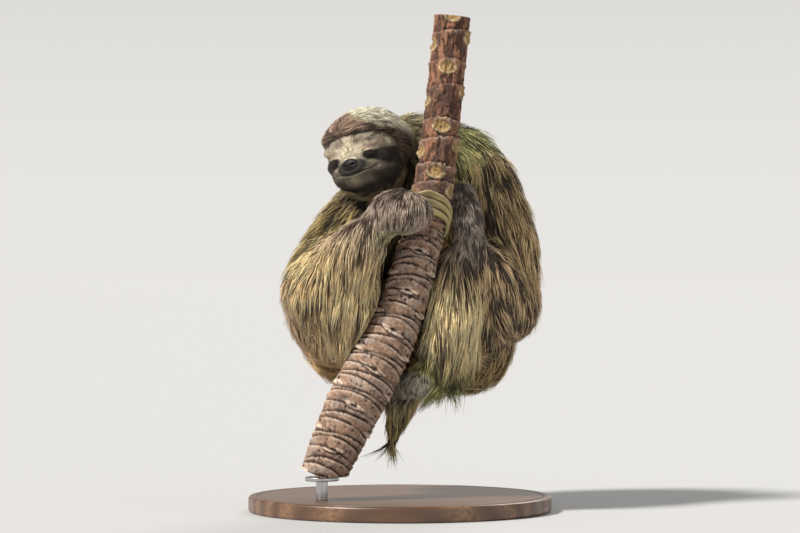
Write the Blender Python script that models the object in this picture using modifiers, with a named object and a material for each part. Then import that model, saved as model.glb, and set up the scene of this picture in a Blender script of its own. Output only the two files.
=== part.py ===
"""A life-size three-toed sloth hugging a short length of ringed stem, on a plain display stand.

Metres, +Z up. The sloth looks towards -Y and the origin is the middle of the stand's underside.
The flesh solids reach to the tips of the coat. Each is a string of balls that is fused, smoothed and
thinned, and is then cut back by what it leans on, so that neighbours meet across a hair-thin gap."""

import math

import bmesh
import bpy
from mathutils import Matrix, Vector

GAP = 0.0003  # between solids that touch
BODY_VOXEL = 0.0035  # fusing grid of the trunk and limbs
FINE_VOXEL = 0.0021  # fusing grid of the head, hands, feet and tail

# Stand
BASE_RADIUS = 0.155
BASE_THICKNESS = 0.016
BASE_BEVEL = 0.003
ROD_RADIUS = 0.006
PLATE_RADIUS = 0.017
PLATE_THICKNESS = 0.004

# Everything above the stand is drawn about the stem's plane, which stands this far before the middle
STEM_Y = -0.070

# Stem: stations (x, z, radius) up its axis, which leans in the plane y = 0
STEM_FOOT_Z = 0.040
STEM = [
    (-0.078, STEM_FOOT_Z, 0.0235),
    (-0.062, 0.076, 0.0262),
    (-0.043, 0.117, 0.0288),
    (-0.019, 0.162, 0.0275),
    (0.000, 0.204, 0.0240),
    (0.016, 0.256, 0.0215),
    (0.028, 0.301, 0.0200),
    (0.0355, 0.345, 0.0190),
    (0.041, 0.390, 0.0182),
    (0.0465, 0.440, 0.0180),
    (0.0525, 0.500, 0.0178),
]
STEM_SIDES = 10
STEM_RING_EVERY = 0.040  # a leaf scar
STEM_RING_PROUD = 0.0007

# Head: the middle of the skull and how it is turned
HEAD_CENTRE = Vector((-0.0325, 0.036, 0.362))
HEAD_YAW = math.radians(-26)  # towards the sloth's right
HEAD_PITCH = math.radians(6)  # nose down
HEAD_ROLL = math.radians(-12)  # left side up
EYE_SPREAD = 0.0195
EYE_FORWARD = 0.0330
EYE_RAISE = 0.0020
EYE_RADIUS = 0.0048
EAR_SPREAD = 0.0445
EAR_RADII = (0.0045, 0.0080, 0.0100)

# Limbs: stations (x, y, z, radius) down each part, with its coat
LIMBS = {
    "right": {
        "upper_arm": [(-0.018, 0.088, 0.312, 0.0460), (-0.058, 0.050, 0.266, 0.0430), (-0.086, 0.010, 0.226, 0.0355)],
        "forearm": [(-0.086, 0.002, 0.224, 0.0350), (-0.050, -0.020, 0.260, 0.0310), (-0.014, -0.036, 0.300, 0.0235)],
        "hand": [(-0.012, -0.036, 0.302, 0.0235), (0.003, -0.046, 0.305, 0.0245), (0.017, -0.044, 0.303, 0.0185)],
        "thigh": [(-0.015, 0.112, 0.174, 0.0540), (-0.051, 0.078, 0.178, 0.0520), (-0.069, 0.050, 0.186, 0.0440)],
        "shank": [(-0.076, 0.038, 0.195, 0.0385), (-0.066, 0.032, 0.177, 0.0300), (-0.054, 0.020, 0.166, 0.0190)],
        "foot": [(-0.052, 0.012, 0.172, 0.0165), (-0.053, 0.026, 0.176, 0.0165), (-0.040, 0.040, 0.181, 0.0150)],
    },
    "left": {
        "upper_arm": [(0.080, 0.085, 0.335, 0.0430), (0.106, 0.072, 0.275, 0.0385), (0.114, 0.062, 0.210, 0.0320)],
        "forearm": [(0.113, 0.058, 0.204, 0.0310), (0.095, 0.030, 0.236, 0.0270), (0.074, 0.008, 0.270, 0.0190)],
        "hand": [(0.070, 0.006, 0.273, 0.0165), (0.068, 0.010, 0.300, 0.0175), (0.061, 0.022, 0.324, 0.0155)],
        "thigh": [(0.066, 0.112, 0.172, 0.0570), (0.070, 0.066, 0.198, 0.0440), (0.062, 0.022, 0.245, 0.0290)],
        "shank": [(0.060, 0.014, 0.252, 0.0270), (0.055, 0.010, 0.200, 0.0300), (0.036, 0.014, 0.150, 0.0230)],
        "foot": [(0.020, 0.004, 0.132, 0.0165), (0.014, 0.018, 0.130, 0.0165), (-0.006, 0.038, 0.130, 0.0150)],
    },
}
# Long hair that hangs from the right forearm and from the left shank: (middle, radii)
HANGING_HAIR = {
    ("right", "forearm"): ((-0.052, -0.006, 0.218), (0.036, 0.026, 0.040)),
    ("left", "shank"): ((0.056, 0.020, 0.165), (0.026, 0.026, 0.040)),
}

# Trunk of the body, neck and tail: stations as above
TORSO = [
    (0.060, 0.100, 0.350, 0.0540),
    (0.034, 0.116, 0.302, 0.0790),
    (0.022, 0.126, 0.245, 0.0890),
    (0.016, 0.114, 0.192, 0.0790),
    (0.014, 0.095, 0.162, 0.0520),
]
NECK = [(-0.012, 0.054, 0.368, 0.0410), (0.012, 0.070, 0.367, 0.0450), (0.046, 0.092, 0.352, 0.0500)]
TAIL = [
    (0.004, 0.070, 0.136, 0.0260),
    (0.000, 0.050, 0.108, 0.0185),
    (-0.010, 0.044, 0.074, 0.0090),
    (-0.018, 0.042, 0.056, 0.0040),
]

# Claws: each limb's first claw, as (height, bearing, clearance) beside the stem for root, bend and tip.
# A bearing is in degrees from the front, towards +X. The steps lead from one claw to the next.
CLAW_ROOT_RADIUS = 0.0037
CLAW_TIP_RADIUS = 0.0016
CLAW_STATIONS = 7
CLAWS = {
    "hand_right": {
        "root": (0.3215, -6, 0.0195),
        "bend": (0.3170, 66, 0.0145),
        "tip": (0.2850, 86, 0.0024),
        "height_steps": (-0.0078, -0.0085, -0.0030),
        "tip_bearing_step": -9,
    },
    "hand_left": {
        "root": (0.3330, 128, 0.0155),
        "bend": (0.3300, 196, 0.0170),
        "tip": (0.3040, 226, 0.0024),
        "height_steps": (-0.0085, -0.0090, -0.0060),
        "tip_bearing_step": 0,
    },
    "foot_left": {
        "root": (0.1380, 142, 0.0145),
        "bend": (0.1360, 196, 0.0170),
        "tip": (0.1160, 226, 0.0024),
        "height_steps": (-0.0080, -0.0085, -0.0060),
        "tip_bearing_step": 0,
    },
    "foot_right": {
        "root": (0.1890, 218, 0.0145),
        "bend": (0.1870, 166, 0.0170),
        "tip": (0.1660, 136, 0.0024),
        "height_steps": (-0.0080, -0.0085, -0.0060),
        "tip_bearing_step": 0,
    },
}


# Scene, materials and objects


def new_collection(name, hidden=False):
    made = bpy.data.collections.new(name)
    made.hide_render = hidden
    bpy.context.scene.collection.children.link(made)
    return made


def material(name, colour, roughness, metallic=0.0):
    made = bpy.data.materials.new(name)
    made.use_nodes = True
    shader = made.node_tree.nodes["Principled BSDF"]
    shader.inputs["Base Color"].default_value = (*colour, 1.0)
    shader.inputs["Roughness"].default_value = roughness
    shader.inputs["Metallic"].default_value = metallic
    return made


for obj in list(bpy.data.objects):
    bpy.data.objects.remove(obj)
SLOTH = new_collection("three_toed_sloth")
CUTTERS = new_collection("cutters", hidden=True)
STEM_PLANE = bpy.data.objects.new("stem_plane", None)
STEM_PLANE.location = (0.0, STEM_Y, 0.0)
SLOTH.objects.link(STEM_PLANE)

fur_tan = material("fur_tan", (0.36, 0.27, 0.14), 0.85)
fur_brown = material("fur_brown", (0.17, 0.12, 0.08), 0.85)
fur_olive = material("fur_olive", (0.24, 0.22, 0.08), 0.85)
fur_grey = material("fur_grey", (0.22, 0.18, 0.15), 0.85)
face_fur = material("face_fur", (0.42, 0.37, 0.28), 0.8)
claw_horn = material("claw_horn", (0.45, 0.36, 0.12), 0.35)
eye_brown = material("eye_brown", (0.02, 0.012, 0.008), 0.08)
bark = material("bark", (0.32, 0.21, 0.15), 0.8)
stand_wood = material("stand_wood", (0.30, 0.19, 0.11), 0.45)
stand_steel = material("stand_steel", (0.55, 0.55, 0.56), 0.3, metallic=1.0)


def add_object(name, mesh, finish=None, collection=SLOTH, parent=STEM_PLANE):
    obj = bpy.data.objects.new(name, mesh)
    collection.objects.link(obj)
    obj.parent = parent
    if finish:
        mesh.materials.clear()
        mesh.materials.append(finish)
    return obj


def evaluated_mesh(obj):
    bpy.context.view_layer.update()
    graph = bpy.context.evaluated_depsgraph_get()
    return bpy.data.meshes.new_from_object(obj.evaluated_get(graph))


def apply_modifiers(obj):
    mesh = evaluated_mesh(obj)
    obj.modifiers.clear()
    obj.data = mesh


def keep_largest(mesh):
    """A cut can leave crumbs, which are dropped."""
    bm = bmesh.new()
    bm.from_mesh(mesh)
    left, islands = set(bm.verts), []
    while left:
        rim = [left.pop()]
        island = set(rim)
        while rim:
            near = {edge.other_vert(vert) for vert in [rim.pop()] for edge in vert.link_edges} & left
            left -= near
            island |= near
            rim += near
        islands.append(island)
    biggest = max(islands, key=len)
    bmesh.ops.delete(bm, geom=[v for v in bm.verts if v not in biggest], context="VERTS")
    bm.to_mesh(mesh)
    bm.free()


# Soft forms: balls and strings of balls, fused


def ball(centre, radii, turn=None):
    """(middle, three radii, turn) of one ball."""
    return Vector(centre), Vector(radii), turn or Matrix.Identity(3)


def string(stations, between=3):
    """Balls strung evenly through stations (x, y, z, radius)."""
    balls = []
    for low, high in zip(stations, stations[1:]):
        for step in range(between + 1):
            share = step / (between + 1)
            x, y, z, radius = (a + (b - a) * share for a, b in zip(low, high))
            balls.append(ball((x, y, z), (radius,) * 3))
    *end, radius = stations[-1]
    return [*balls, ball(end, (radius,) * 3)]


def fuse(name, balls, triangles, finish, voxel, smoothing):
    """The balls as one smooth closed form of about that many triangles."""
    bm = bmesh.new()
    for centre, radii, turn in balls:
        place = Matrix.Translation(centre) @ turn.to_4x4() @ Matrix.Diagonal((*radii, 1.0))
        bmesh.ops.create_icosphere(bm, subdivisions=3, radius=1.0, matrix=place)
    mesh = bpy.data.meshes.new(name)
    bm.to_mesh(mesh)
    bm.free()
    obj = add_object(name, mesh, finish)
    remesh = obj.modifiers.new("fuse", "REMESH")
    remesh.mode = "VOXEL"
    remesh.voxel_size = voxel
    smooth = obj.modifiers.new("smooth", "SMOOTH")
    smooth.factor = 0.5
    smooth.iterations = smoothing
    apply_modifiers(obj)
    thin = obj.modifiers.new("thin", "DECIMATE")
    thin.ratio = triangles / sum(len(face.vertices) - 2 for face in obj.data.polygons)
    thin.use_collapse_triangulate = True
    apply_modifiers(obj)
    keep_largest(obj.data)
    obj.data.shade_smooth()
    return obj


# Cutting neighbours apart


def swollen(obj):
    """A copy that stands proud of obj by the gap, to cut its neighbours with."""
    copy = obj.data.copy()
    bm = bmesh.new()
    bm.from_mesh(copy)
    bm.normal_update()
    for vert in bm.verts:
        vert.co += vert.normal * GAP * vert.calc_shell_factor()
    bm.to_mesh(copy)
    bm.free()
    cutter = add_object(obj.name + "_cutter", copy, collection=CUTTERS)
    cutter.hide_render = True
    cutter.display_type = "WIRE"
    return cutter


def box_of(obj):
    corners = [obj.matrix_world @ vert.co for vert in obj.data.vertices]
    return [(min(c[i] for c in corners), max(c[i] for c in corners)) for i in range(3)]


def boxes_meet(one, other):
    return all(a[0] < b[1] and b[0] < a[1] for a, b in zip(box_of(one), box_of(other)))


def cut_back(obj, cutters):
    """Takes from obj the room that each neighbour needs."""
    for cutter in cutters:
        if boxes_meet(obj, cutter):
            cut = obj.modifiers.new("room", "BOOLEAN")
            cut.operation = "DIFFERENCE"
            cut.object = cutter
            apply_modifiers(obj)
            keep_largest(obj.data)


# Stem and claws: round bars of changing radius


def round_bar(name, path, finish, bevel_resolution):
    """A closed tube through path, a list of (point, radius)."""
    curve = bpy.data.curves.new(name, "CURVE")
    curve.dimensions = "3D"
    curve.bevel_depth = 1.0
    curve.bevel_resolution = bevel_resolution
    curve.use_fill_caps = True
    spline = curve.splines.new("POLY")
    spline.points.add(len(path) - 1)
    for point, (place, radius) in zip(spline.points, path):
        point.co = (*place, 1.0)
        point.radius = radius
    tube = add_object(name + "_tube", curve)
    mesh = evaluated_mesh(tube)
    bpy.data.objects.remove(tube)
    bm = bmesh.new()
    bm.from_mesh(mesh)
    bmesh.ops.remove_doubles(bm, verts=bm.verts, dist=1e-5)
    bmesh.ops.triangulate(bm, faces=bm.faces)
    bm.to_mesh(mesh)
    bm.free()
    mesh.shade_smooth()
    return add_object(name, mesh, finish)


def stem_at(z):
    """(x, radius) of the stem at that height."""
    for (x0, z0, r0), (x1, z1, r1) in zip(STEM, STEM[1:]):
        if z <= z1:
            share = (z - z0) / (z1 - z0)
            return x0 + (x1 - x0) * share, r0 + (r1 - r0) * share
    return STEM[-1][0], STEM[-1][2]


def make_stem():
    """The stem, with a low ring at each leaf scar and a level foot."""
    length = STEM[-1][1] - STEM_FOOT_Z
    steps = 2 * round(length / STEM_RING_EVERY)
    path = []
    for i in range(steps + 1):
        z = STEM_FOOT_Z + length * i / steps
        x, radius = stem_at(z)
        path.append(((x, 0.0, z), radius + (STEM_RING_PROUD if i % 2 else -STEM_RING_PROUD)))
    stem = round_bar("perch", path, bark, STEM_SIDES // 2 - 2)
    for vert in stem.data.vertices:
        if vert.co.z < STEM_FOOT_Z + length / steps / 2:
            vert.co.z = STEM_FOOT_Z
    return stem


def beside_stem(height, bearing, clearance):
    x, radius = stem_at(height)
    reach = radius + clearance
    angle = math.radians(bearing)
    return Vector((x + reach * math.sin(angle), -reach * math.cos(angle), height))


def make_claw(limb, k):
    """The k-th claw of a limb: a horn drawn towards its bend, round at the tip."""
    plan = CLAWS[limb]
    places = []
    for station, height_step in zip(("root", "bend", "tip"), plan["height_steps"]):
        height, bearing, clearance = plan[station]
        if station == "tip":
            bearing += k * plan["tip_bearing_step"]
        places.append(beside_stem(height + k * height_step, bearing, clearance))
    root, bend, tip = places
    path = []
    for i in range(CLAW_STATIONS):
        t = i / (CLAW_STATIONS - 1)
        place = root * (1 - t) ** 2 + bend * (2 * t * (1 - t)) + tip * t**2
        radius = CLAW_TIP_RADIUS + (CLAW_ROOT_RADIUS - CLAW_TIP_RADIUS) * (1 - t**1.6)
        path.append((place, radius if t < 1 else radius / 2))
    return round_bar(f"claw_{limb}_{k + 1}", path, claw_horn, 1)


perch = make_stem()
claws = [make_claw(limb, k) for limb in CLAWS for k in range(3)]


# Head: forms by their distances left, forward and up from the middle of the skull

HEAD_TURN = (
    Matrix.Rotation(HEAD_YAW, 3, "Z") @ Matrix.Rotation(HEAD_PITCH, 3, "X") @ Matrix.Rotation(HEAD_ROLL, 3, "Y")
)


def head_point(left, forward, up):
    return HEAD_CENTRE + HEAD_TURN @ Vector((left, -forward, up))


def head_ball(left, forward, up, radii):
    return ball(head_point(left, forward, up), radii, HEAD_TURN)


def make_eye(name, side):
    bm = bmesh.new()
    place = Matrix.Translation(head_point(side * EYE_SPREAD, EYE_FORWARD, EYE_RAISE))
    bmesh.ops.create_icosphere(bm, subdivisions=2, radius=EYE_RADIUS, matrix=place)
    mesh = bpy.data.meshes.new(name)
    bm.to_mesh(mesh)
    bm.free()
    mesh.shade_smooth()
    return add_object(name, mesh, eye_brown)


def make_ear(name, side):
    flap = head_ball(side * EAR_SPREAD, -0.004, 0.004, EAR_RADII)
    return fuse(name, [flap], 60, fur_brown, FINE_VOXEL / 2, smoothing=1)


HEAD_FORMS = {
    "hood of long hair": head_ball(0, -0.004, 0.006, (0.0475, 0.0470, 0.0415)),
    "brow": head_ball(0, 0.006, 0.019, (0.0400, 0.0330, 0.0270)),
    "face": head_ball(0, 0.013, -0.004, (0.0360, 0.0270, 0.0310)),
    "left cheek": head_ball(0.0190, 0.008, -0.015, (0.0180, 0.0240, 0.0180)),
    "right cheek": head_ball(-0.0190, 0.008, -0.015, (0.0180, 0.0240, 0.0180)),
    "muzzle": head_ball(0, 0.029, -0.011, (0.0200, 0.0190, 0.0130)),
    "nose": head_ball(0, 0.0420, -0.006, (0.0115, 0.0070, 0.0068)),
    "chin": head_ball(0, 0.025, -0.0225, (0.0165, 0.0180, 0.0105)),
    "throat": head_ball(0, 0.000, -0.023, (0.0300, 0.0260, 0.0200)),
}
head = fuse("head", HEAD_FORMS.values(), 520, face_fur, FINE_VOXEL, smoothing=3)
eyes = [make_eye("eye_left", 1), make_eye("eye_right", -1)]
ears = [make_ear("ear_left", 1), make_ear("ear_right", -1)]


# Limbs, trunk of the body, neck and tail


def make_limbs(part, triangles, finish, voxel=BODY_VOXEL):
    """That part of the right and of the left limb."""
    made = []
    for side, parts in LIMBS.items():
        balls = string(parts[part])
        if (side, part) in HANGING_HAIR:
            balls.append(ball(*HANGING_HAIR[side, part]))
        made.append(fuse(f"{part}_{side}", balls, triangles, finish, voxel, smoothing=6))
    return made


hands = make_limbs("hand", 140, fur_grey, FINE_VOXEL)
feet = make_limbs("foot", 120, fur_grey, FINE_VOXEL)
forearms = make_limbs("forearm", 180, fur_tan)
shanks = make_limbs("shank", 160, fur_tan)
upper_arms = make_limbs("upper_arm", 150, fur_olive)
thighs = make_limbs("thigh", 140, fur_brown)
tail = fuse("tail", string(TAIL), 80, fur_brown, FINE_VOXEL, smoothing=4)
neck = fuse("neck", string(NECK), 120, fur_olive, BODY_VOXEL, smoothing=6)
torso = fuse("torso", string(TORSO), 300, fur_brown, BODY_VOXEL, smoothing=10)

# Each solid gives way to those before it

giving_way = [perch, *claws, *hands, *feet, *forearms, *eyes, *ears, head]
giving_way += [*shanks, *upper_arms, *thighs, tail, neck, torso]
cutters = [swollen(solid) for solid in giving_way]
bpy.context.view_layer.update()
for place, solid in enumerate(giving_way):
    if place:
        cut_back(solid, cutters[:place])
for cutter in cutters:
    bpy.data.objects.remove(cutter)
bpy.data.collections.remove(CUTTERS)


# Stand: a round base, and a rod that carries a plate under the stem's foot


def stand_cylinder(name, x, y, z_low, z_high, radius, sides, finish):
    bm = bmesh.new()
    middle = Matrix.Translation((x, y, (z_low + z_high) / 2))
    height = z_high - z_low
    bmesh.ops.create_cone(
        bm, cap_ends=True, segments=sides, radius1=radius, radius2=radius, depth=height, matrix=middle
    )
    mesh = bpy.data.meshes.new(name)
    bm.to_mesh(mesh)
    bm.free()
    mesh.shade_smooth()
    mesh.set_sharp_from_angle(angle=math.radians(40))
    return add_object(name, mesh, finish, parent=None)


foot_x = STEM[0][0]
plate_top = STEM_FOOT_Z - GAP
plate_low = plate_top - PLATE_THICKNESS
base = stand_cylinder("stand_base", 0.0, 0.0, 0.0, BASE_THICKNESS, BASE_RADIUS, 48, stand_wood)
rounding = base.modifiers.new("rounding", "BEVEL")
rounding.width = BASE_BEVEL
rounding.segments = 1
rounding.limit_method = "ANGLE"
rounding.angle_limit = math.radians(60)
stand_cylinder("stand_rod", foot_x, STEM_Y, BASE_THICKNESS + GAP, plate_low - GAP, ROD_RADIUS, 16, stand_steel)
stand_cylinder("stand_plate", foot_x, STEM_Y, plate_low, plate_top, PLATE_RADIUS, 24, stand_steel)
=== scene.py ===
import heapq
import math

import bmesh
import bpy
import numpy as np
from mathutils import Matrix, Vector
from mathutils.bvhtree import BVHTree
from mathutils.kdtree import KDTree


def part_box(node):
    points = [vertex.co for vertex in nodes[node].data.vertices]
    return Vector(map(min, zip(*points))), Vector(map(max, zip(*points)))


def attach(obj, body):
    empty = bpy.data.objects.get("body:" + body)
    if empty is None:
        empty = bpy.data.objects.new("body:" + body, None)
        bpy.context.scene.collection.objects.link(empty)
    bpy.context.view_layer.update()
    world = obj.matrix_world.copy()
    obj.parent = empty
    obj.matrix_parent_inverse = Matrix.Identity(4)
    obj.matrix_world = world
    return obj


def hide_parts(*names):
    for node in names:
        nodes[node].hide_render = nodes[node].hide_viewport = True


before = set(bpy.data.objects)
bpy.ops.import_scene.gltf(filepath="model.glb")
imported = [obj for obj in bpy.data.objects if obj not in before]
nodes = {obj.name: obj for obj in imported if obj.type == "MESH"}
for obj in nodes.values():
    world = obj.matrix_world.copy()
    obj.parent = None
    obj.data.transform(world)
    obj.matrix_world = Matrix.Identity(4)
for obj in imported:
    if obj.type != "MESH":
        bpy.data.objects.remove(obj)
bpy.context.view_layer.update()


# Room: a pale painted floor that runs out evenly to a pale sky, and three broad soft lamps far off:
# the main one high on the left, a weak one on the right and one behind for the rim of the coat. The
# camera stands level, three metres before the stem.

stem_low, stem_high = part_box("perch")
STEM_Y = (stem_low.y + stem_high.y) / 2
CAMERA_DISTANCE = 3.0
CAMERA_HEIGHT = 0.25
CAMERA_LENS = 135
CAMERA_SENSOR = 36
FLOOR_HALF = 60.0
FLOOR_GREY = 0.50
FLOOR_WEAR = 0.985  # how dark the worn patches of the paint are
SKY_STRENGTH = 0.30
SKY_ON_FLOOR = 1.13  # light that the whole sky gives the floor, for each unit of its strength
SKY_BLEND = 0.35
# For each lamp: the way to it, strength, width in degrees and colour
LAMPS = {
    "main_lamp": ((-0.60, -0.42, 0.72), 4.8, 9, (1.0, 0.97, 0.92)),
    "weak_lamp": ((0.85, -0.60, 0.30), 0.30, 60, (0.92, 0.96, 1.0)),
    "rim_lamp": ((0.35, 0.75, 0.60), 1.0, 25, (1.0, 0.98, 0.94)),
}


def add_object(name, data):
    made = bpy.data.objects.new(name, data)
    bpy.context.scene.collection.objects.link(made)
    return made


camera_data = bpy.data.cameras.new("camera")
camera_data.lens = CAMERA_LENS
camera_data.sensor_width = CAMERA_SENSOR
camera = add_object("camera", camera_data)
camera.location = (0.0, STEM_Y - CAMERA_DISTANCE, CAMERA_HEIGHT)
camera.rotation_euler = (math.radians(90), 0.0, 0.0)
bpy.context.scene.camera = camera
bpy.context.scene.view_settings.view_transform = "Standard"

for name, (toward_lamp, strength, spread, colour) in LAMPS.items():
    data = bpy.data.lights.new(name, "SUN")
    data.energy = strength
    data.angle = math.radians(spread)
    data.color = colour
    lamp = add_object(name, data)
    lamp.rotation_euler = Vector(toward_lamp).to_track_quat("Z", "Y").to_euler()


def add_node(tree, kind, settings=None, **inputs):
    """A shader node; an input is a value, or the output that feeds it."""
    made = tree.nodes.new("ShaderNode" + kind)
    for key, value in (settings or {}).items():
        setattr(made, key, value)
    for name, value in inputs.items():
        socket = next(s for s in made.inputs if s.name.replace(" ", "_") == name and s.enabled)
        if isinstance(value, bpy.types.NodeSocket):
            tree.links.new(value, socket)
        else:
            socket.default_value = value
    return made


def output(node, name=None):
    return next(s for s in node.outputs if s.enabled and (name is None or s.name == name))


def colours_between(tree, factor, low, high):
    mix = add_node(tree, "Mix", {"data_type": "RGBA"}, Factor=factor, A=low, B=high)
    return output(mix, "Result")


def ramp(tree, value, low, high):
    """0 below low and 1 above high, with a smooth rise between."""
    settings = {"interpolation_type": "SMOOTHSTEP"}
    return output(add_node(tree, "MapRange", settings, Value=value, From_Min=low, From_Max=high), "Result")


# At the horizon the sky has the colour of the lit floor, so that no line shows
lit = [SKY_STRENGTH * SKY_ON_FLOOR] * 3
for toward_lamp, strength, _, colour in LAMPS.values():
    across_floor = strength * Vector(toward_lamp).normalized().z / math.pi
    lit = [so_far + across_floor * part for so_far, part in zip(lit, colour)]
horizon = [light * FLOOR_GREY / SKY_STRENGTH for light in lit]
sky = bpy.data.worlds.new("sky")
sky.use_nodes = True
bpy.context.scene.world = sky
tree = sky.node_tree
direction = output(add_node(tree, "TexCoord"), "Generated")
up = output(add_node(tree, "SeparateXYZ", None, Vector=direction), "Z")
colour = colours_between(tree, ramp(tree, up, 0.0, SKY_BLEND), (*horizon, 1.0), (1.0, 1.0, 1.0, 1.0))
tree.links.new(colour, tree.nodes["Background"].inputs["Color"])
tree.nodes["Background"].inputs["Strength"].default_value = SKY_STRENGTH


def new_material(name, roughness, **sockets):
    """A material with its shader, for one finish."""
    made = bpy.data.materials.new(name)
    made.use_nodes = True
    shader = made.node_tree.nodes["Principled BSDF"]
    shader.inputs["Roughness"].default_value = roughness
    for socket, value in sockets.items():
        shader.inputs[socket.replace("_", " ")].default_value = value
    return made, made.node_tree, shader


def noise_of(tree, scale, detail, place=None):
    inputs = {"Scale": scale, "Detail": detail}
    if place is not None:
        inputs["Vector"] = place
    return output(add_node(tree, "TexNoise", None, **inputs), "Fac")


def new_piece(name, points, faces, finish):
    """A smooth mesh object from points and faces: an array of faces with as many corners each, or a list."""
    mesh = bpy.data.meshes.new(name)
    if isinstance(faces, list):
        mesh.from_pydata(np.asarray(points).tolist(), [], faces)
        mesh.shade_smooth()
    else:
        count, corners = faces.shape
        mesh.vertices.add(len(points))
        mesh.loops.add(count * corners)
        mesh.polygons.add(count)
        mesh.vertices.foreach_set("co", np.ascontiguousarray(points, np.float32).ravel())
        mesh.loops.foreach_set("vertex_index", np.ascontiguousarray(faces, np.int32).ravel())
        mesh.polygons.foreach_set("loop_start", np.arange(0, count * corners, corners, dtype=np.int32))
        mesh.polygons.foreach_set("use_smooth", np.ones(count, bool))
    mesh.update(calc_edges=True)
    mesh.materials.append(finish)
    return add_object(name, mesh)


floor_paint, tree, shader = new_material("floor_paint", 0.95)
floor_wear_and_claw_highlight = (*[FLOOR_GREY * FLOOR_WEAR] * 3, 1.0)
fresh = (*[FLOOR_GREY] * 3, 1.0)
tree.links.new(colours_between(tree, noise_of(tree, 3.0, 4.0), floor_wear_and_claw_highlight, fresh), shader.inputs["Base Color"])
corners = np.array([(-1, -1, 0), (1, -1, 0), (1, 1, 0), (-1, 1, 0)], float) * FLOOR_HALF
floor = new_piece("floor", corners, np.array([[0, 1, 2, 3]]), floor_paint)


# Stand: a turned and oiled hardwood disc. A thin brushed steel rod rises from it and ends in a round
# plate, which is screwed to the foot of the stem from below.

TURNED_SIDES = 144
EASED_STEPS = 6
SHARP_EDGE = math.radians(35)
# For each piece: its finish, and how far its edges are eased
STAND_PIECES = {
    "stand_base": ("stand_wood", 0.0030),
    "stand_rod": ("stand_steel", 0.0005),
    "stand_plate": ("stand_steel", 0.0010),
}
GROOVE_RADIUS, GROOVE_WIDTH, GROOVE_DEPTH, GROOVE_SLOPE = 0.1448, 0.0027, 0.0011, 0.0007
WOOD_DARK = (0.085, 0.042, 0.022, 1.0)
WOOD_LIGHT = (0.25, 0.135, 0.070, 1.0)
STEEL = (0.56, 0.56, 0.57, 1.0)
STEEL_DULL = (0.448, 0.448, 0.456, 1.0)


def turned(name, middle, profile, finish):
    """A turned piece: profile is (radius, height) up the outside, between two points on the axis."""
    angles = np.linspace(0, 2 * math.pi, TURNED_SIDES, endpoint=False)
    rings = [
        np.stack([radius * np.cos(angles), radius * np.sin(angles), np.full(TURNED_SIDES, height)], 1)
        for radius, height in profile
    ]
    side = np.arange(TURNED_SIDES)
    ahead = (side + 1) % TURNED_SIDES
    faces = []
    for low in range(len(profile) - 1):
        a, b = low * TURNED_SIDES, (low + 1) * TURNED_SIDES
        faces.append(np.stack([a + side, a + ahead, b + ahead, b + side], 1))
    points = np.concatenate(rings) + np.array([*middle, 0.0])
    piece = new_piece(name, points, np.concatenate(faces), finish)
    bm = bmesh.new()
    bm.from_mesh(piece.data)
    bmesh.ops.remove_doubles(bm, verts=bm.verts, dist=1e-6)
    bmesh.ops.recalc_face_normals(bm, faces=bm.faces)
    bm.to_mesh(piece.data)
    bm.free()
    piece.data.set_sharp_from_angle(angle=SHARP_EDGE)
    return piece


def eased(radius, low, high, ease):
    """The profile of a disc whose two edges are eased."""
    quarter = [math.pi / 2 * step / EASED_STEPS for step in range(EASED_STEPS + 1)]
    inner = radius - ease
    foot = [(inner + ease * math.sin(turn), low + ease - ease * math.cos(turn)) for turn in quarter]
    top = [(inner + ease * math.cos(turn), high - ease + ease * math.sin(turn)) for turn in quarter]
    return [(0.0, low), *foot, *top, (0.0, high)]


def stretched(tree, scale):
    """The place on the piece, drawn out along the grain or the brushing."""
    place = output(add_node(tree, "TexCoord"), "Object")
    return output(add_node(tree, "Mapping", None, Vector=place, Scale=scale), "Vector")


def add_bump(tree, shader, height, strength, distance):
    bump = add_node(tree, "Bump", None, Height=height, Strength=strength, Distance=distance)
    tree.links.new(output(bump, "Normal"), shader.inputs["Normal"])


wood, tree, shader = new_material("stand_wood", 0.42, Coat_Weight=0.25, Coat_Roughness=0.3)
rings = add_node(
    tree,
    "TexWave",
    {"bands_direction": "Y"},
    Vector=stretched(tree, (1.0, 9.0, 9.0)),
    Scale=1.4,
    Distortion=7.0,
    Detail=4.0,
)
fibres = noise_of(tree, 1.0, 5.0, stretched(tree, (12.0, 420.0, 420.0)))
grain = add_node(tree, "Math", {"operation": "MULTIPLY"}, Value=ramp(tree, fibres, 0.2, 0.75))
tree.links.new(output(rings, "Fac"), grain.inputs[1])
tree.links.new(colours_between(tree, output(grain), WOOD_DARK, WOOD_LIGHT), shader.inputs["Base Color"])
add_bump(tree, shader, fibres, 0.12, 0.0006)

steel, tree, shader = new_material("stand_steel", 0.32, Metallic=1.0, Anisotropic=0.5)
brush = noise_of(tree, 1.0, 3.0, stretched(tree, (300.0, 300.0, 9000.0)))
tree.links.new(colours_between(tree, brush, STEEL_DULL, STEEL), shader.inputs["Base Color"])
add_bump(tree, shader, brush, 0.08, 0.0003)

for name, (slot, ease) in STAND_PIECES.items():
    low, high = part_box(name)
    middle = ((low.x + high.x) / 2, (low.y + high.y) / 2)
    profile = eased((high.x - low.x) / 2, low.z, high.z, ease)
    if name == "stand_base":
        outer = GROOVE_RADIUS + GROOVE_WIDTH
        floor_z = high.z - GROOVE_DEPTH
        groove = [(outer, high.z), (outer - GROOVE_SLOPE, floor_z), (GROOVE_RADIUS + GROOVE_SLOPE, floor_z)]
        profile[-1:-1] = [*groove, (GROOVE_RADIUS, high.z)]
    piece = turned(name.replace("stand", "turned"), middle, profile, wood if slot == "stand_wood" else steel)
    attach(piece, "root")
    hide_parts(name)


# Stem: a cut length of young trunk with its leaf scars, which overlap like scales low down and turn
# to wide flaky rings higher up. It is sawn level at the foot, where the plate is screwed on.

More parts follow.
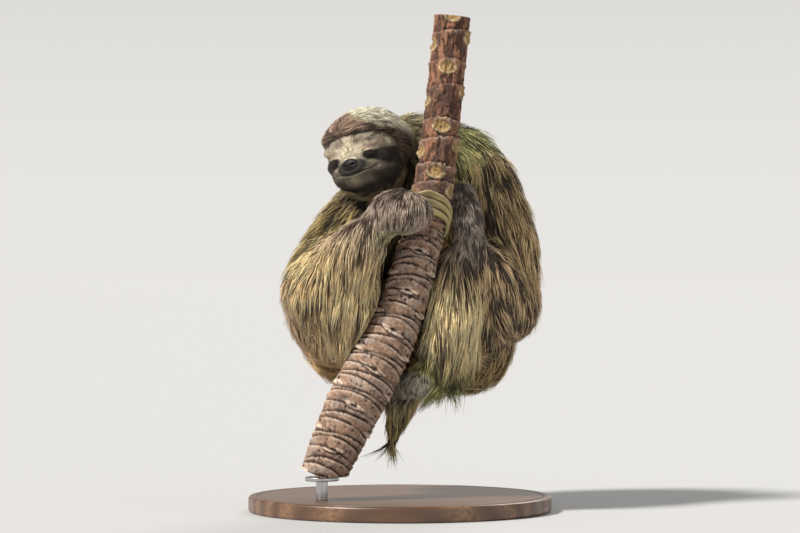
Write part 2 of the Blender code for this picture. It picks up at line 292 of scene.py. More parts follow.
# Stations up the middle: x, z and radius
STEM_STATIONS = np.array([
    (-0.078, 0.040, 0.0235), (-0.062, 0.076, 0.0262), (-0.043, 0.117, 0.0288), (-0.019, 0.162, 0.0275),
    (0.000, 0.204, 0.0240), (0.016, 0.256, 0.0215), (0.028, 0.301, 0.0200), (0.0355, 0.345, 0.0190),
    (0.041, 0.390, 0.0182), (0.0465, 0.440, 0.0180), (0.0525, 0.500, 0.0178),
])
BARK_AROUND = 176
BARK_STEP = 0.00115
YOUNG_FROM, YOUNG_ABOVE = 0.215, 0.345  # run up the stem where old bark gives way to young
FRONT = 1.5 * math.pi
# Heights of the leaf scars that face the front, and how five scars share out every two turns
FRONT_SCARS = (
    -0.030, 0.020, 0.064, 0.108, 0.1445, 0.1825, 0.222, 0.262, 0.302, 0.345, 0.391, 0.449, 0.501, 0.56,
)
SCARS_A_ROUND = 5
SCAR_TURN = math.radians(144)
SPOTS = 210
END_INSETS = (0.93, 0.6, 0.25, 0.05)
BARK_PALE = np.array([0.255, 0.150, 0.096])
BARK_RED = np.array([0.105, 0.042, 0.024])
BARK_LIP = np.array([0.680, 0.520, 0.400])
BARK_SHADE_AND_STAIN = np.array([0.030, 0.016, 0.012])
BARK_GREY = np.array([0.360, 0.320, 0.290])
FLAKE_RED = np.array([0.34, 0.16, 0.085])
DISC_BROWN = np.array([0.36, 0.23, 0.09])
DISC_RIM = np.array([0.66, 0.52, 0.28])
SAWN_WOOD = (0.50, 0.36, 0.22)


def smooth_step(low, high, value):
    share = np.clip((value - low) / (high - low), 0, 1)
    return share * share * (3 - 2 * share)


def ridge(value, width):
    """1 where the value is 0, falling away evenly on both sides."""
    return np.exp(-((value / width) ** 2))


def value_noise(places, seed):
    """Smooth noise between 0 and 1 at an array of places, one unit between its knots."""
    places = np.asarray(places, float)
    whole = np.floor(places).astype(np.int64)
    part = places - whole
    part = part * part * (3 - 2 * part)
    total = np.zeros(len(places))
    for corner in range(8):
        step = np.array([corner & 1, corner >> 1 & 1, corner >> 2 & 1])
        knot = whole + step
        code = knot[:, 0] * 73856093 ^ knot[:, 1] * 19349663 ^ knot[:, 2] * 83492791 ^ seed * 2654435761
        code = (code ^ (code >> 13)) * 1274126177 & 0xFFFFFFFF
        code = (code ^ (code >> 16)) & 0xFFFF
        total += code / 65535 * np.prod(np.where(step, part, 1 - part), axis=1)
    return total


def layered_noise(places, seed, layers=3):
    total, weight = np.zeros(len(places)), 0.0
    for layer in range(layers):
        total += value_noise(np.asarray(places) * 2.03**layer, seed + layer) / 1.7**layer
        weight += 1 / 1.7**layer
    return total / weight


def through_stations(stations, shares):
    """A smooth curve through the stations, at shares 0..1 of their count."""
    along = np.clip(shares, 0, 1) * (len(stations) - 1)
    low = np.minimum(along.astype(int), len(stations) - 2)
    t = (along - low)[:, None]
    before, a, b, after = (stations[np.clip(low + k, 0, len(stations) - 1)] for k in (-1, 0, 1, 2))
    return a + 0.5 * t * (
        b - before + t * (2 * before - 5 * a + 4 * b - after + t * (3 * (a - b) + after - before))
    )


fine = through_stations(STEM_STATIONS, np.linspace(0, 1, 2000))
stem_run = np.concatenate([[0], np.cumsum(np.hypot(*np.diff(fine[:, :2], axis=0).T))])
stem_rows = int(stem_run[-1] / BARK_STEP)
row_run = np.linspace(0, stem_run[-1], stem_rows)
axis = np.stack([np.interp(row_run, stem_run, fine[:, k]) for k in range(3)], 1)
lean = np.gradient(axis[:, :2], axis=0)
lean /= np.linalg.norm(lean, axis=1, keepdims=True)
around = np.linspace(0, 2 * math.pi, BARK_AROUND, endpoint=False)
run, angle = (grid.ravel() for grid in np.meshgrid(row_run, around, indexing="ij"))
wrap = np.stack([np.cos(angle) * 22, np.sin(angle) * 22, run * 1000], 1)
young = smooth_step(YOUNG_FROM, YOUNG_ABOVE, run)
lips, cracks, shields, shield_rise, pits, discs, disc_rim = np.zeros((7, run.size))
rng = np.random.default_rng(7)

# Each dropped leaf has left a ring round the stem, and low down a shield under it. Higher up it has
# left a round disc. Each fifth scar faces the front again
leaves = []
for low, high in zip(FRONT_SCARS, FRONT_SCARS[1:]):
    for step in range(SCARS_A_ROUND):
        at_height = low + (high - low) * step / SCARS_A_ROUND
        inside = float(np.clip(at_height, fine[0, 1], fine[-1, 1]))
        leaf_run = float(np.interp(inside, fine[:, 1], stem_run)) + at_height - inside
        leaves.append((leaf_run, FRONT + SCAR_TURN * step, step in (0, 3)))
for number, (leaf_run, leaf_angle, strong) in enumerate(leaves):
    high = float(smooth_step(YOUNG_FROM, YOUNG_ABOVE, leaf_run))
    above = run - leaf_run
    turn = (angle - leaf_angle + math.pi) % (2 * math.pi) - math.pi
    ragged = (0.0012 + 0.0034 * high) * (layered_noise(wrap * [0.22, 0.22, 0.05], 40 + number, 3) - 0.5)
    arch = 0.0060 - 0.0060 * np.abs(turn / math.pi) ** 1.3 + rng.uniform(-0.001, 0.001)
    arch += (0.0100 - 0.0080 * high) * (-np.sin(angle) + (0.10 + 0.25 * high) * np.cos(angle))
    below = arch + ragged - above
    part = 0.45 + 0.55 * smooth_step(0.36, 0.56, value_noise(wrap * [0.10, 0.10, 0.02], 90 + number))
    part = part * (1 if strong else 1 - 0.85 * high)
    lip = np.where(below > 0, np.exp(-below / (0.0020 + 0.002 * high)), ridge(below, 0.00030))
    crack = ridge(below + 0.0012, 0.00105 - 0.0003 * high)
    np.maximum(lips, lip * part, out=lips)
    np.maximum(cracks, crack * part * (1 - 0.35 * high), out=cracks)
    if high < 0.6:
        half = rng.uniform(0.50, 0.66)
        bow = np.clip(1 - (turn / half) ** 2, 0, 1)
        askew = 0.0022 * (turn / half) * rng.uniform(-1, 1)
        off = above - 0.0045 * max(-math.sin(leaf_angle), 0) + askew + 0.6 * ragged
        share_up = (off + 0.0030 * bow) / np.maximum(0.0056 * bow, 1e-5)
        inside = (share_up > 0) & (share_up < 1) & (bow > 0.02)
        proud = np.clip(1 - share_up, 0, 1) ** 0.7 * bow**0.5
        shields = np.where(inside, np.maximum(shields, 1 - 0.55 * share_up), shields)
        shield_rise = np.where(inside, np.maximum(shield_rise, proud), shield_rise)
        # A groove under the shield's lower edge, which is also painted dark below as the shield's shadow
        under = ridge(off + 0.0030 * bow + 0.0010, 0.0008) * (bow > 0.02) * bow**0.3
        np.maximum(cracks, under, out=cracks)
        hole = np.hypot(turn * 0.022 / 0.0034, (above - 0.0050 - 0.0006 * np.cos(number)) / 0.0017)
        np.maximum(pits, 1 - smooth_step(0.5, 1.3, hole), out=pits)
    else:
        wide, tall = rng.uniform(0.0070, 0.0090), rng.uniform(0.0058, 0.0070)
        reach = np.hypot(turn * 0.0185 / wide, above / tall) + 36 * ragged
        discs = np.maximum(discs, 1 - smooth_step(0.72, 0.92, reach))
        disc_rim = np.maximum(disc_rim, ridge(reach - 1.0, 0.15) * (0.35 + 0.65 * (above < 0)))
for _ in range(SPOTS):
    spot_run, spot_angle = rng.uniform(0, stem_run[-1]), rng.uniform(0, 2 * math.pi)
    wide, tall = rng.uniform(0.0008, 0.0022), rng.uniform(0.0005, 0.0011)
    near = np.abs(run - spot_run) < 0.006
    turn = (angle[near] - spot_angle + math.pi) % (2 * math.pi) - math.pi
    reach = np.hypot(turn * 0.022 / wide, (run[near] - spot_run) / tall)
    pits[near] = np.maximum(pits[near], 1 - smooth_step(0.6, 1.3, reach))
flakes = smooth_step(0.49, 0.54, layered_noise(wrap * [0.20, 0.20, 0.10], 5, 3)) * young
rough = layered_noise(wrap * [0.55, 0.55, 0.55], 11, 4) - 0.5
long_rough = layered_noise(wrap * [0.35, 0.35, 0.08], 17, 3) - 0.5
proud = 0.0019 * lips - 0.0026 * cracks - 0.0016 * pits + 0.0014 * flakes + 0.0022 * shield_rise
proud += 0.0020 * disc_rim - 0.0008 * discs + 0.0010 * rough
proud += (0.0014 - 0.0008 * young) * long_rough - 0.0011
radius = np.repeat(axis[:, 2], BARK_AROUND) * (1 + 0.02 * np.sin(2 * angle + 9 * run)) + proud
across = np.repeat(lean, BARK_AROUND, 0)[:, ::-1] * [1, -1]
middle = np.repeat(axis[:, :2], BARK_AROUND, 0) + across * (np.cos(angle) * radius)[:, None]
points = np.stack([middle[:, 0], STEM_Y + np.sin(angle) * radius, middle[:, 1]], 1)
points[:, 2] = np.clip(points[:, 2], stem_low.z, stem_high.z)


def tinted(tone, other, share):
    """Tone drawn towards another one by a share for each point."""
    return tone + (other - tone) * share[:, None]


tone = tinted(BARK_PALE, BARK_RED, young)
patches = layered_noise(wrap * [0.10, 0.10, 0.05], 23)
tone = tone * (0.45 + 1.05 * patches)[:, None]
tone = tone * (0.66 + 0.68 * layered_noise(wrap * [0.30, 0.30, 1.3], 27, 3))[:, None]
speckle = smooth_step(0.52, 0.70, layered_noise(wrap * [0.7, 0.7, 0.7], 37, 2))
tone = tinted(tone, BARK_LIP, 0.30 * speckle * (1 - young))
grey = smooth_step(0.50, 0.68, layered_noise(wrap * [0.08, 0.08, 0.10], 31)) * (0.4 - 0.35 * young)
tone = tinted(tone, BARK_GREY, grey)
# Pale lips and shields of the leaf scars: partly the scars' own pale colour, partly a painted highlight on
# these raised edges
tone = tinted(tone, BARK_LIP, (0.92 - 0.45 * young) * lips ** (1.3 + 0.3 * young))
tone = tinted(tone, BARK_LIP * 1.10, np.clip(1.05 * shields * (0.6 + patches), 0, 1))
tone = tinted(tone, FLAKE_RED, 0.70 * flakes * smooth_step(0.30, 0.70, patches))
disc_tone = DISC_BROWN * (0.35 + 1.2 * layered_noise(wrap * [1.0, 1.0, 0.5], 33, 3))[:, None]
tone = tinted(tone, disc_tone, 0.85 * discs)
tone = tinted(tone, DISC_RIM, 0.80 * disc_rim)
# Painted shade darkens the cracks under the lips and shields, the low spots of the rough bark and the young
# bark between its rings; the pits are darkened too, and the stains low down are the bark's own
dark = cracks * 1.1 + 0.95 * pits + 0.7 * smooth_step(0.10, 0.26, -rough) * (1 - 0.5 * discs)
dark += 0.35 * young * (1 - flakes) * (1 - discs) * (1 - lips)
stains = smooth_step(0.0, 0.9, layered_noise(wrap * [0.16, 0.16, 0.10], 43, 3) * 2.4 - 1.1)
dark += 0.75 * (1 - young) * stains * (1 - lips)
tone = tinted(tone, BARK_SHADE_AND_STAIN, np.clip(dark, 0, 1))

# Both sawn ends: rings of wood inside the bark, the outermost and the pith darker
ends, end_tones = [], []
for row in (0, stem_rows - 1):
    rim = points[row * BARK_AROUND : (row + 1) * BARK_AROUND]
    middle = rim.mean(0)
    for inset, shade in zip(END_INSETS, (0.5, 1, 1, 0.25)):
        ends.append(middle + (rim - middle) * inset)
        end_tones.append(np.tile(np.array(SAWN_WOOD) * shade, (BARK_AROUND, 1)))
points = np.concatenate([points, *ends])
tone = np.concatenate([tone, *end_tones])
side = np.arange(BARK_AROUND)
ahead = (side + 1) % BARK_AROUND
starts = np.arange(stem_rows) * BARK_AROUND
insets = len(END_INSETS)
end_starts = stem_rows * BARK_AROUND + np.arange(2 * insets) * BARK_AROUND
joins = [(a + BARK_AROUND, a) for a in starts[:-1]]
joins += [(starts[0], end_starts[0])] + [(end_starts[k], end_starts[k + 1]) for k in range(insets - 1)]
joins += [(end_starts[insets], starts[-1])]
joins += [(end_starts[k + 1], end_starts[k]) for k in range(insets, 2 * insets - 1)]
faces = np.concatenate([np.stack([a + side, a + ahead, b + ahead, b + side], 1) for a, b in joins])


def toned_material(name, roughness, **sockets):
    """A material whose colour comes from the tones held at the mesh's points."""
    made, tree, shader = new_material(name, roughness, **sockets)
    tone = output(add_node(tree, "Attribute", {"attribute_name": "tone"}), "Color")
    place = output(add_node(tree, "TexCoord"), "Object")
    return made, tree, shader, tone, place


def share_of(tree, value, low, high, to_low, to_high):
    """The value's range drawn out to another."""
    limits = {"From_Min": low, "From_Max": high, "To_Min": to_low, "To_Max": to_high}
    return output(add_node(tree, "MapRange", None, Value=value, **limits), "Result")


def tint(tree, shader, tone, shade):
    colour = add_node(tree, "VectorMath", {"operation": "SCALE"}, Vector=tone, Scale=shade)
    tree.links.new(output(colour, "Vector"), shader.inputs["Base Color"])


def hold_tone(mesh, tone):
    layer = mesh.attributes.new("tone", "FLOAT_COLOR", "POINT")
    layer.data.foreach_set("color", np.column_stack([tone, np.ones(len(tone))]).astype(np.float32).ravel())


bark, tree, shader, tone_here, place = toned_material("bark", 0.86)
mixed = add_node(tree, "Math", {"operation": "ADD"}, Value=noise_of(tree, 900.0, 4.0, place))
tree.links.new(noise_of(tree, 260.0, 3.0, place), mixed.inputs[1])
tint(tree, shader, tone_here, share_of(tree, output(mixed), 0.6, 1.4, 0.62, 1.38))
add_bump(tree, shader, output(mixed), 0.5, 0.0006)

stem = new_piece("stem", points, faces, bark)
hold_tone(stem.data, tone)
bm = bmesh.new()
bm.from_mesh(stem.data)
for row in (end_starts[insets - 1], end_starts[-1]):
    bm.verts.ensure_lookup_table()
    bmesh.ops.contextual_create(bm, geom=[bm.verts[row + k] for k in range(BARK_AROUND)])
bmesh.ops.recalc_face_normals(bm, faces=bm.faces)
bmesh.ops.triangulate(bm, faces=[face for face in bm.faces if len(face.verts) > 4])
bm.to_mesh(stem.data)
bm.free()
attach(stem, "root")
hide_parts("perch")


# Skin of the body: one mount of soft hide over the trunk, neck, limbs and tail. It lies under the
# tips of the coat by the coat's depth, and the head below is joined to it without a seam.

# How deep the coat is over each part
FLESH = {
    "torso": 0.0170, "neck": 0.0120, "tail": 0.0090,
    "upper_arm_right": 0.0125, "upper_arm_left": 0.0120, "forearm_right": 0.0110, "forearm_left": 0.0090,
    "thigh_right": 0.0150, "thigh_left": 0.0150, "shank_right": 0.0080, "shank_left": 0.0110,
    "hand_right": 0.0042, "hand_left": 0.0038, "foot_right": 0.0032, "foot_left": 0.0032, "head": 0.0130,
}
PARTS = list(FLESH)
SAME_POINT = 1e-5
CLOSES_GAPS = 0.0006  # added all round each solid, so that neighbours run into each other
ENVELOPE_GRID, SKIN_GRID = 0.0030, 0.0026
SKIN_STEPS = 8
PART_REACH = 0.03
THIN_SHARE = 0.34  # of a form's thickness that the coat may take at most
THIN_START, THICKEST = 0.0012, 0.08


def welded(names, swell):
    """The CAD solids' faces as one bmesh, a hair fuller, so that the gaps between them close."""
    bm = bmesh.new()
    for name in names:
        one = bmesh.new()
        one.from_mesh(nodes[name].data)
        bmesh.ops.remove_doubles(one, verts=one.verts, dist=SAME_POINT)
        one.normal_update()
        for vert in one.verts:
            vert.co += vert.normal * swell
        mesh = bpy.data.meshes.new("welded")
        one.to_mesh(mesh)
        one.free()
        bm.from_mesh(mesh)
        bpy.data.meshes.remove(mesh)
    return bm


def cast(name, mesh, modifiers):
    """The mesh that the modifiers make of another one."""
    blank = add_object(name, mesh)
    for kind, settings in modifiers:
        made = blank.modifiers.new(kind, kind)
        for key, value in settings.items():
            setattr(made, key, value)
    bpy.context.view_layer.update()
    graph = bpy.context.evaluated_depsgraph_get()
    mesh = bpy.data.meshes.new_from_object(blank.evaluated_get(graph))
    bpy.data.objects.remove(blank)
    return mesh


def fused(name, mesh, grid, rounds):
    """The mesh's forms run together on a grid, and smoothed."""
    return cast(name, mesh, [
        ("REMESH", {"mode": "VOXEL", "voxel_size": grid}),
        ("SMOOTH", {"factor": 0.5, "iterations": rounds}),
    ])


def points_of(mesh, what="co"):
    """The points of a mesh, or what else is asked of them."""
    values = np.empty(len(mesh.vertices) * 3, np.float32)
    mesh.vertices.foreach_get(what, values)
    return values.reshape(-1, 3).astype(float)


def edges_of(mesh):
    pairs = np.empty(len(mesh.edges) * 2, np.int32)
    mesh.edges.foreach_get("vertices", pairs)
    return pairs.reshape(-1, 2)


def relaxed(values, pairs, rounds, hold=0.5):
    """Values at the points of a mesh, evened out along its edges."""
    count = np.bincount(pairs.ravel(), minlength=len(values))[:, None]
    values = values.reshape(len(values), -1)
    for _ in range(rounds):
        total = np.zeros_like(values)
        for column in range(values.shape[1]):
            one = values[:, column]
            total[:, column] = np.bincount(pairs[:, 0], one[pairs[:, 1]], len(values))
            total[:, column] += np.bincount(pairs[:, 1], one[pairs[:, 0]], len(values))
        values = hold * values + (1 - hold) * total / np.maximum(count, 1)
    return values


# The forms fused into one smooth envelope at the tips of the coat
bm = welded(PARTS, CLOSES_GAPS)
envelope = bpy.data.meshes.new("envelope")
bm.to_mesh(envelope)
bm.free()
envelope = fused("envelope", envelope, ENVELOPE_GRID, 5)

part_trees = []
for name in PARTS:
    bm = welded([name], 0.0)
    part_trees.append(BVHTree.FromBMesh(bm))
    bm.free()


def nearest_part(points):
    """The number of the part that each point is nearest to."""
    best = np.full(len(points), 9.0)
    label = np.zeros(len(points), int)
    for number, tree in enumerate(part_trees):
        for k, point in enumerate(points):
            found = tree.find_nearest(point, min(best[k], PART_REACH) if best[k] < 9 else PART_REACH)
            if found[0] is not None and found[3] < best[k]:
                best[k], label[k] = found[3], number
    return label


# The envelope drawn in by the coat's depth, which is less where a form is thin
shell = points_of(envelope)
pairs = edges_of(envelope)
belongs = np.eye(len(PARTS))[nearest_part(shell.tolist())]
depth = relaxed((belongs @ np.array(list(FLESH.values())))[:, None], pairs, 14)[:, 0]
shell_tree = BVHTree.FromPolygons(shell.tolist(), [tuple(face.vertices) for face in envelope.polygons])
inward = -points_of(envelope, "normal")
for k in range(len(shell)):
    hit = shell_tree.ray_cast(shell[k] + inward[k] * THIN_START, inward[k], THICKEST)
    if hit[0] is not None:
        depth[k] = min(depth[k], THIN_SHARE * (hit[3] + THIN_START))
depth = np.minimum(depth, relaxed(depth[:, None], pairs, 20)[:, 0])
depth = relaxed(depth[:, None], pairs, 6)[:, 0]
for step in range(SKIN_STEPS):
    shell -= points_of(envelope, "normal") * depth[:, None] / SKIN_STEPS
    shell = relaxed(shell, pairs, 2, hold=0.6)
    envelope.vertices.foreach_set("co", shell.astype(np.float32).ravel())
    envelope.update()
body = fused("body_skin", envelope, SKIN_GRID, 4)


# Head of the skin: a round face with a short broad muzzle, set under the heavy rolled edge of a hood
# of hair. It is drawn in millimetres to the sloth's left, ahead and up from the middle of the skull.

MM = 0.001
HEAD_YAW, HEAD_PITCH, HEAD_ROLL = math.radians(-26), math.radians(6), math.radians(-14)
EYE_PLACE = np.array([19.5, 33.0, 2.0])
EYE_RADIUS = 4.8
LID_THICKNESS = 0.75
LID_REACH = 5.3
UPPER_LID, LOWER_LID = 1.15, 0.85
EYE_SINK = 3.4
HOOD_WIDTH, HOOD_HEIGHT, HOOD_DROP, HOOD_SHAPE = 104.0, 42.0, 75.0, 2.3  # angles about the face's middle
FACE_MIDDLE = np.array([0.0, 6.0, 0.0])
# Forms as (middle, radii): skull, cheeks, muzzle, nose, chin, lips, brows, under the eyes, throat
FACE_FORMS = [
    ((0, 10, 2), (35.5, 29.5, 35)),
    ((19, 8, -13.5), (17.5, 22.5, 16.5)), ((-19, 8, -13.5), (17.5, 22.5, 16.5)),
    ((0, 27.5, -10.5), (18.5, 18.5, 12)), ((0, 40.5, -5.5), (10, 6.5, 6)),
    ((0, 24, -21.0), (15.5, 17.5, 9.5)),
    ((6, 37.5, -11), (9.5, 8, 5.8)), ((-6, 37.5, -11), (9.5, 8, 5.8)),
    ((19, 26.5, 12), (14, 7.5, 6)), ((-19, 26.5, 12), (14, 7.5, 6)),
    ((20, 24.5, -4), (14, 8, 8)), ((-20, 24.5, -4), (14, 8, 8)), ((0, 0, -22), (27, 24, 18)),
]
HOOD_FORMS = [((0, -4, 6), (43.5, 43, 37.5)), ((0, 6, 19), (37, 30, 24))]
MOUTH = np.array([(0, -16.2), (6, -15.7), (12, -14.8), (18, -13.6), (22.5, -12.4)])
NOSE_MIDDLE, NOSE_HALF = -5.6, (9.2, 5.6)
NOSTRIL_PLACE, NOSTRIL_HALF, NOSTRIL_DEPTH = (4.5, -6.2), (1.9, 1.15), 2.1
# Places that need finer faces, with how wide: eyes, nose and the corners of the lips
FINE_SPOTS = [
    (EYE_PLACE, 8.5), (EYE_PLACE * [-1, 1, 1], 8.5), (np.array([0, 44, -8]), 11.5),
    (np.array([13, 40, -13]), 6.0), (np.array([-13, 40, -13]), 6.0),
]

yawed, pitched = Matrix.Rotation(HEAD_YAW, 3, "Z"), Matrix.Rotation(HEAD_PITCH, 3, "X")
head_turn = np.array(yawed @ pitched @ Matrix.Rotation(HEAD_ROLL, 3, "Y"))
eye_middles = [np.array(sum(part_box(name), Vector())) / 2 for name in ("eye_left", "eye_right")]
skull = (eye_middles[0] + eye_middles[1]) / 2 - head_turn @ (np.array([0, -EYE_PLACE[1], EYE_PLACE[2]]) * MM)


def from_head(local):
    """Places in the row's frame of points given left, ahead and up of the skull's middle."""
    return skull + (local * [1, -1, 1] * MM) @ head_turn.T


def to_head(places):
    return (np.asarray(places) - skull) @ head_turn / MM * [1, -1, 1]


def unit(vectors):
    return vectors / np.maximum(np.linalg.norm(vectors, axis=-1, keepdims=True), 1e-12)


def reach_of(forms, rays, blend):
    """How far each ray from the face's middle goes before it leaves the blended forms."""
    reach = np.full(len(rays), 75.0)
    for _ in range(34):
        places = FACE_MIDDLE + rays * reach[:, None]
        gaps = []
        for middle, radii in forms:
            offset = (places - middle) / radii
            one = np.linalg.norm(offset, axis=1)
            gaps.append(one * (one - 1) / np.maximum(np.linalg.norm(offset / radii, axis=1), 1e-9))
        gaps = np.array(gaps)
        least = gaps.min(0)
        reach -= 0.85 * (least - blend * np.log(np.exp(-(gaps - least) / blend).sum(0)))
    return reach


def ball_reach(rays, middle, radius):
    """How far each ray goes before it leaves a ball, and whether it meets the ball at all."""
    offset = middle - FACE_MIDDLE
    along = rays @ offset
    inside = radius**2 - (offset @ offset - along**2)
    return along + np.sqrt(np.maximum(inside, 0)), inside > 0


def line_gap(places, line):
    """Distance of each (x, y) from a broken line, and the height above it."""
    best = np.full(len(places), 99.0)
    above = np.zeros(len(places))
    for a, b in zip(line, line[1:]):
        share = np.clip((places - a) @ (b - a) / ((b - a) @ (b - a)), 0, 1)
        offset = places - (a + share[:, None] * (b - a))
        gap = np.linalg.norm(offset, axis=1)
        nearer = gap < best
        best = np.where(nearer, gap, best)
        above = np.where(nearer, offset[:, 1], above)
    return best, above


def hood_share(local):
    """Less than 1 on the face and more under the hood, and how many degrees each point is up."""
    offset = local - FACE_MIDDLE
    turn = np.degrees(np.abs(np.arctan2(offset[:, 0], offset[:, 1])))
    rise = np.degrees(np.arctan2(offset[:, 2], np.hypot(offset[:, 0], offset[:, 1])))
    height = np.where(rise > 0, HOOD_HEIGHT, HOOD_DROP)
    return (turn / HOOD_WIDTH) ** HOOD_SHAPE + (np.abs(rise) / height) ** HOOD_SHAPE, rise


eye_look = unit(np.array([0.42, 0.90, -0.05]))
eye_out = unit(unit(np.cross(eye_look, [0.0, 0.0, 1.0])) + np.array([0, 0, -0.20]))
eye_up = np.cross(eye_out, eye_look)


def eye_offsets(places, side):
    """Along the slit towards the temple, and up across it, from the middle of that eye."""
    mirror = np.array([side, 1, 1])
    offset = (places - EYE_PLACE * mirror) * mirror
    return offset @ eye_out, offset @ eye_up


# A ball of rays from the face's middle, closer together ahead, and finest at the eyes and nose
bm = bmesh.new()
bmesh.ops.create_icosphere(bm, subdivisions=6, radius=1.0)
rays = np.array([vert.co for vert in bm.verts])
turn = np.arccos(np.clip(rays[:, 1], -1, 1))
closer = turn * (0.50 + 0.50 * (turn / math.pi) ** 1.2)
rays = np.column_stack([
    rays[:, 0] * np.sin(closer) / np.maximum(np.sin(turn), 1e-9),
    np.cos(closer),
    rays[:, 2] * np.sin(closer) / np.maximum(np.sin(turn), 1e-9),
])
for vert, ray in zip(bm.verts, unit(rays)):
    vert.co = ray
for spot, size in FINE_SPOTS:
    aim = Vector(unit(spot - FACE_MIDDLE))
    limit = math.cos(size / np.linalg.norm(spot - FACE_MIDDLE))
    edges = [e for e in bm.edges if all(v.co.normalized().dot(aim) > limit for v in e.verts)]
    bmesh.ops.subdivide_edges(bm, edges=edges, cuts=1, use_grid_fill=True)
bmesh.ops.triangulate(bm, faces=[face for face in bm.faces if len(face.verts) > 3])
for vert in bm.verts:
    vert.co.normalize()
rays = np.array([vert.co for vert in bm.verts])

# The face's forms, and the hood's over them behind a rolled edge
face_reach = reach_of(FACE_FORMS, rays, 1.5)
hood_reach = np.maximum(reach_of(HOOD_FORMS, rays, 3.0), face_reach + 1.2)
edge, rise = hood_share(FACE_MIDDLE + rays * face_reach[:, None])
fade = smooth_step(-34, -8, rise)
under_hood = smooth_step(0.90, 1.10, edge) * (0.25 + 0.75 * fade)
reach = face_reach + (hood_reach - face_reach) * under_hood
reach += fade * (1.1 * ridge(edge - 1.13, 0.07) - 1.2 * ridge(edge - 0.90, 0.07))

# Lids: skin drawn over each eyeball, parted in a slit, with a fold above and below it
opening = np.zeros(len(rays))
crease = np.zeros(len(rays))
for side in (1, -1):
    middle = EYE_PLACE * [side, 1, 1]
    lid, meets = ball_reach(rays, middle, EYE_RADIUS + LID_THICKNESS)
    near_eye = rays @ unit(middle - FACE_MIDDLE) > 0.9
    lid = np.where(meets & near_eye, lid, 0)
    drawn = 0.5 * (reach + lid + np.sqrt((reach - lid) ** 2 + 1.2))
    reach = np.where(lid > 0, drawn, reach)
    ball_hit, meets = ball_reach(rays, middle, EYE_RADIUS)
    hit = FACE_MIDDLE + rays * np.where(meets, ball_hit, reach)[:, None]
    out, up = eye_offsets(hit, side)
    bow = np.clip(1 - (out / LID_REACH) ** 2, 0, 1)
    inside = np.minimum(UPPER_LID * bow**0.75 - up, up + LOWER_LID * bow)
    one = smooth_step(-0.15, 0.22, inside) * near_eye * (np.abs(out) < LID_REACH)
    opening = np.maximum(opening, one)
    fold = ridge(up - 3.5 + 0.045 * out**2, 0.55) * (np.abs(out) < 8)
    fold += 0.8 * ridge(up + 3.2 - 0.035 * out**2, 0.6) * (np.abs(out) < 7)
    corner = smooth_step(4.6, 5.6, np.abs(out)) * smooth_step(9.5, 6.0, np.abs(out))
    crease += near_eye * (0.55 * fold + 0.8 * np.exp(-((up + 0.1) ** 2) / 0.35) * corner)
    reach += 0.28 * np.exp(-((inside + 0.55) ** 2) / 0.16) * near_eye * (np.abs(out) < LID_REACH + 0.8)
    reach = np.where(one > 0, reach - one * EYE_SINK, reach)
reach -= crease * (1 - opening)

# Mouth, nostrils, and the bare pad of the nose
at = FACE_MIDDLE + rays * reach[:, None]
left, ahead, up = at.T
front = smooth_step(20, 28, ahead)
at_nose = smooth_step(38, 41, ahead)
mouth_gap, mouth_above = line_gap(np.column_stack([np.abs(left), up]), MOUTH)
reach -= front * 1.7 * ridge(mouth_gap, 0.75)
reach += front * 0.55 * ridge(mouth_above + 1.9, 1.1) * (mouth_gap < 5)
reach += front * 0.35 * ridge(mouth_above - 1.7, 1.0) * (mouth_gap < 5)
pad_gap = np.hypot(left / NOSE_HALF[0], (up - NOSE_MIDDLE + 0.012 * left**2) / NOSE_HALF[1])
pad = (1 - smooth_step(0.92, 1.06, pad_gap)) * at_nose
reach += 0.5 * pad - 0.45 * ridge(pad_gap - 1.06, 0.07) * at_nose
beside = np.abs(left) - NOSTRIL_PLACE[0]
nostril_gap = np.hypot(beside / NOSTRIL_HALF[0], (up - NOSTRIL_PLACE[1] - 0.25 * beside) / NOSTRIL_HALF[1])
reach -= NOSTRIL_DEPTH * (1 - smooth_step(0.55, 1.1, nostril_gap)) * at_nose
between = ridge(left, 0.55) * smooth_step(-5, -7, up) * smooth_step(-17, -15.5, up)
reach -= 0.7 * between * front
wrinkle = layered_noise(at * [0.55, 0.55, 0.9], 71, 3) - 0.5
reach += (0.25 + 0.5 * (1 - pad)) * 0.8 * wrinkle * (1 - opening)
for vert, place in zip(bm.verts, from_head(FACE_MIDDLE + rays * reach[:, None])):
    vert.co = place
if bm.calc_volume(signed=True) < 0:
    bmesh.ops.reverse_faces(bm, faces=bm.faces)
head_mesh = bpy.data.meshes.new("head_skin")
bm.to_mesh(head_mesh)
bm.free()
head_mesh.shade_smooth()
head_blank = add_object("head_skin", head_mesh)
joined = ("BOOLEAN", {"operation": "UNION", "object": head_blank, "solver": "MANIFOLD"})
skin_mesh = cast("skin", body, [joined])
bpy.data.objects.remove(head_blank)

# Fusing can leave a loose flake, so only what hangs together with the crown of the head stays
bm = bmesh.new()
bm.from_mesh(skin_mesh)
held = {max(bm.verts, key=lambda vert: vert.co.z)}
edge_of_held = list(held)
while edge_of_held:
    vert = edge_of_held.pop()
    around = [edge.other_vert(vert) for edge in vert.link_edges]
    fresh = [other for other in around if other not in held]
    held.update(fresh)
    edge_of_held.extend(fresh)
bmesh.ops.delete(bm, geom=[vert for vert in bm.verts if vert not in held], context="VERTS")
bm.to_mesh(skin_mesh)
bm.free()
skin_mesh.shade_smooth()
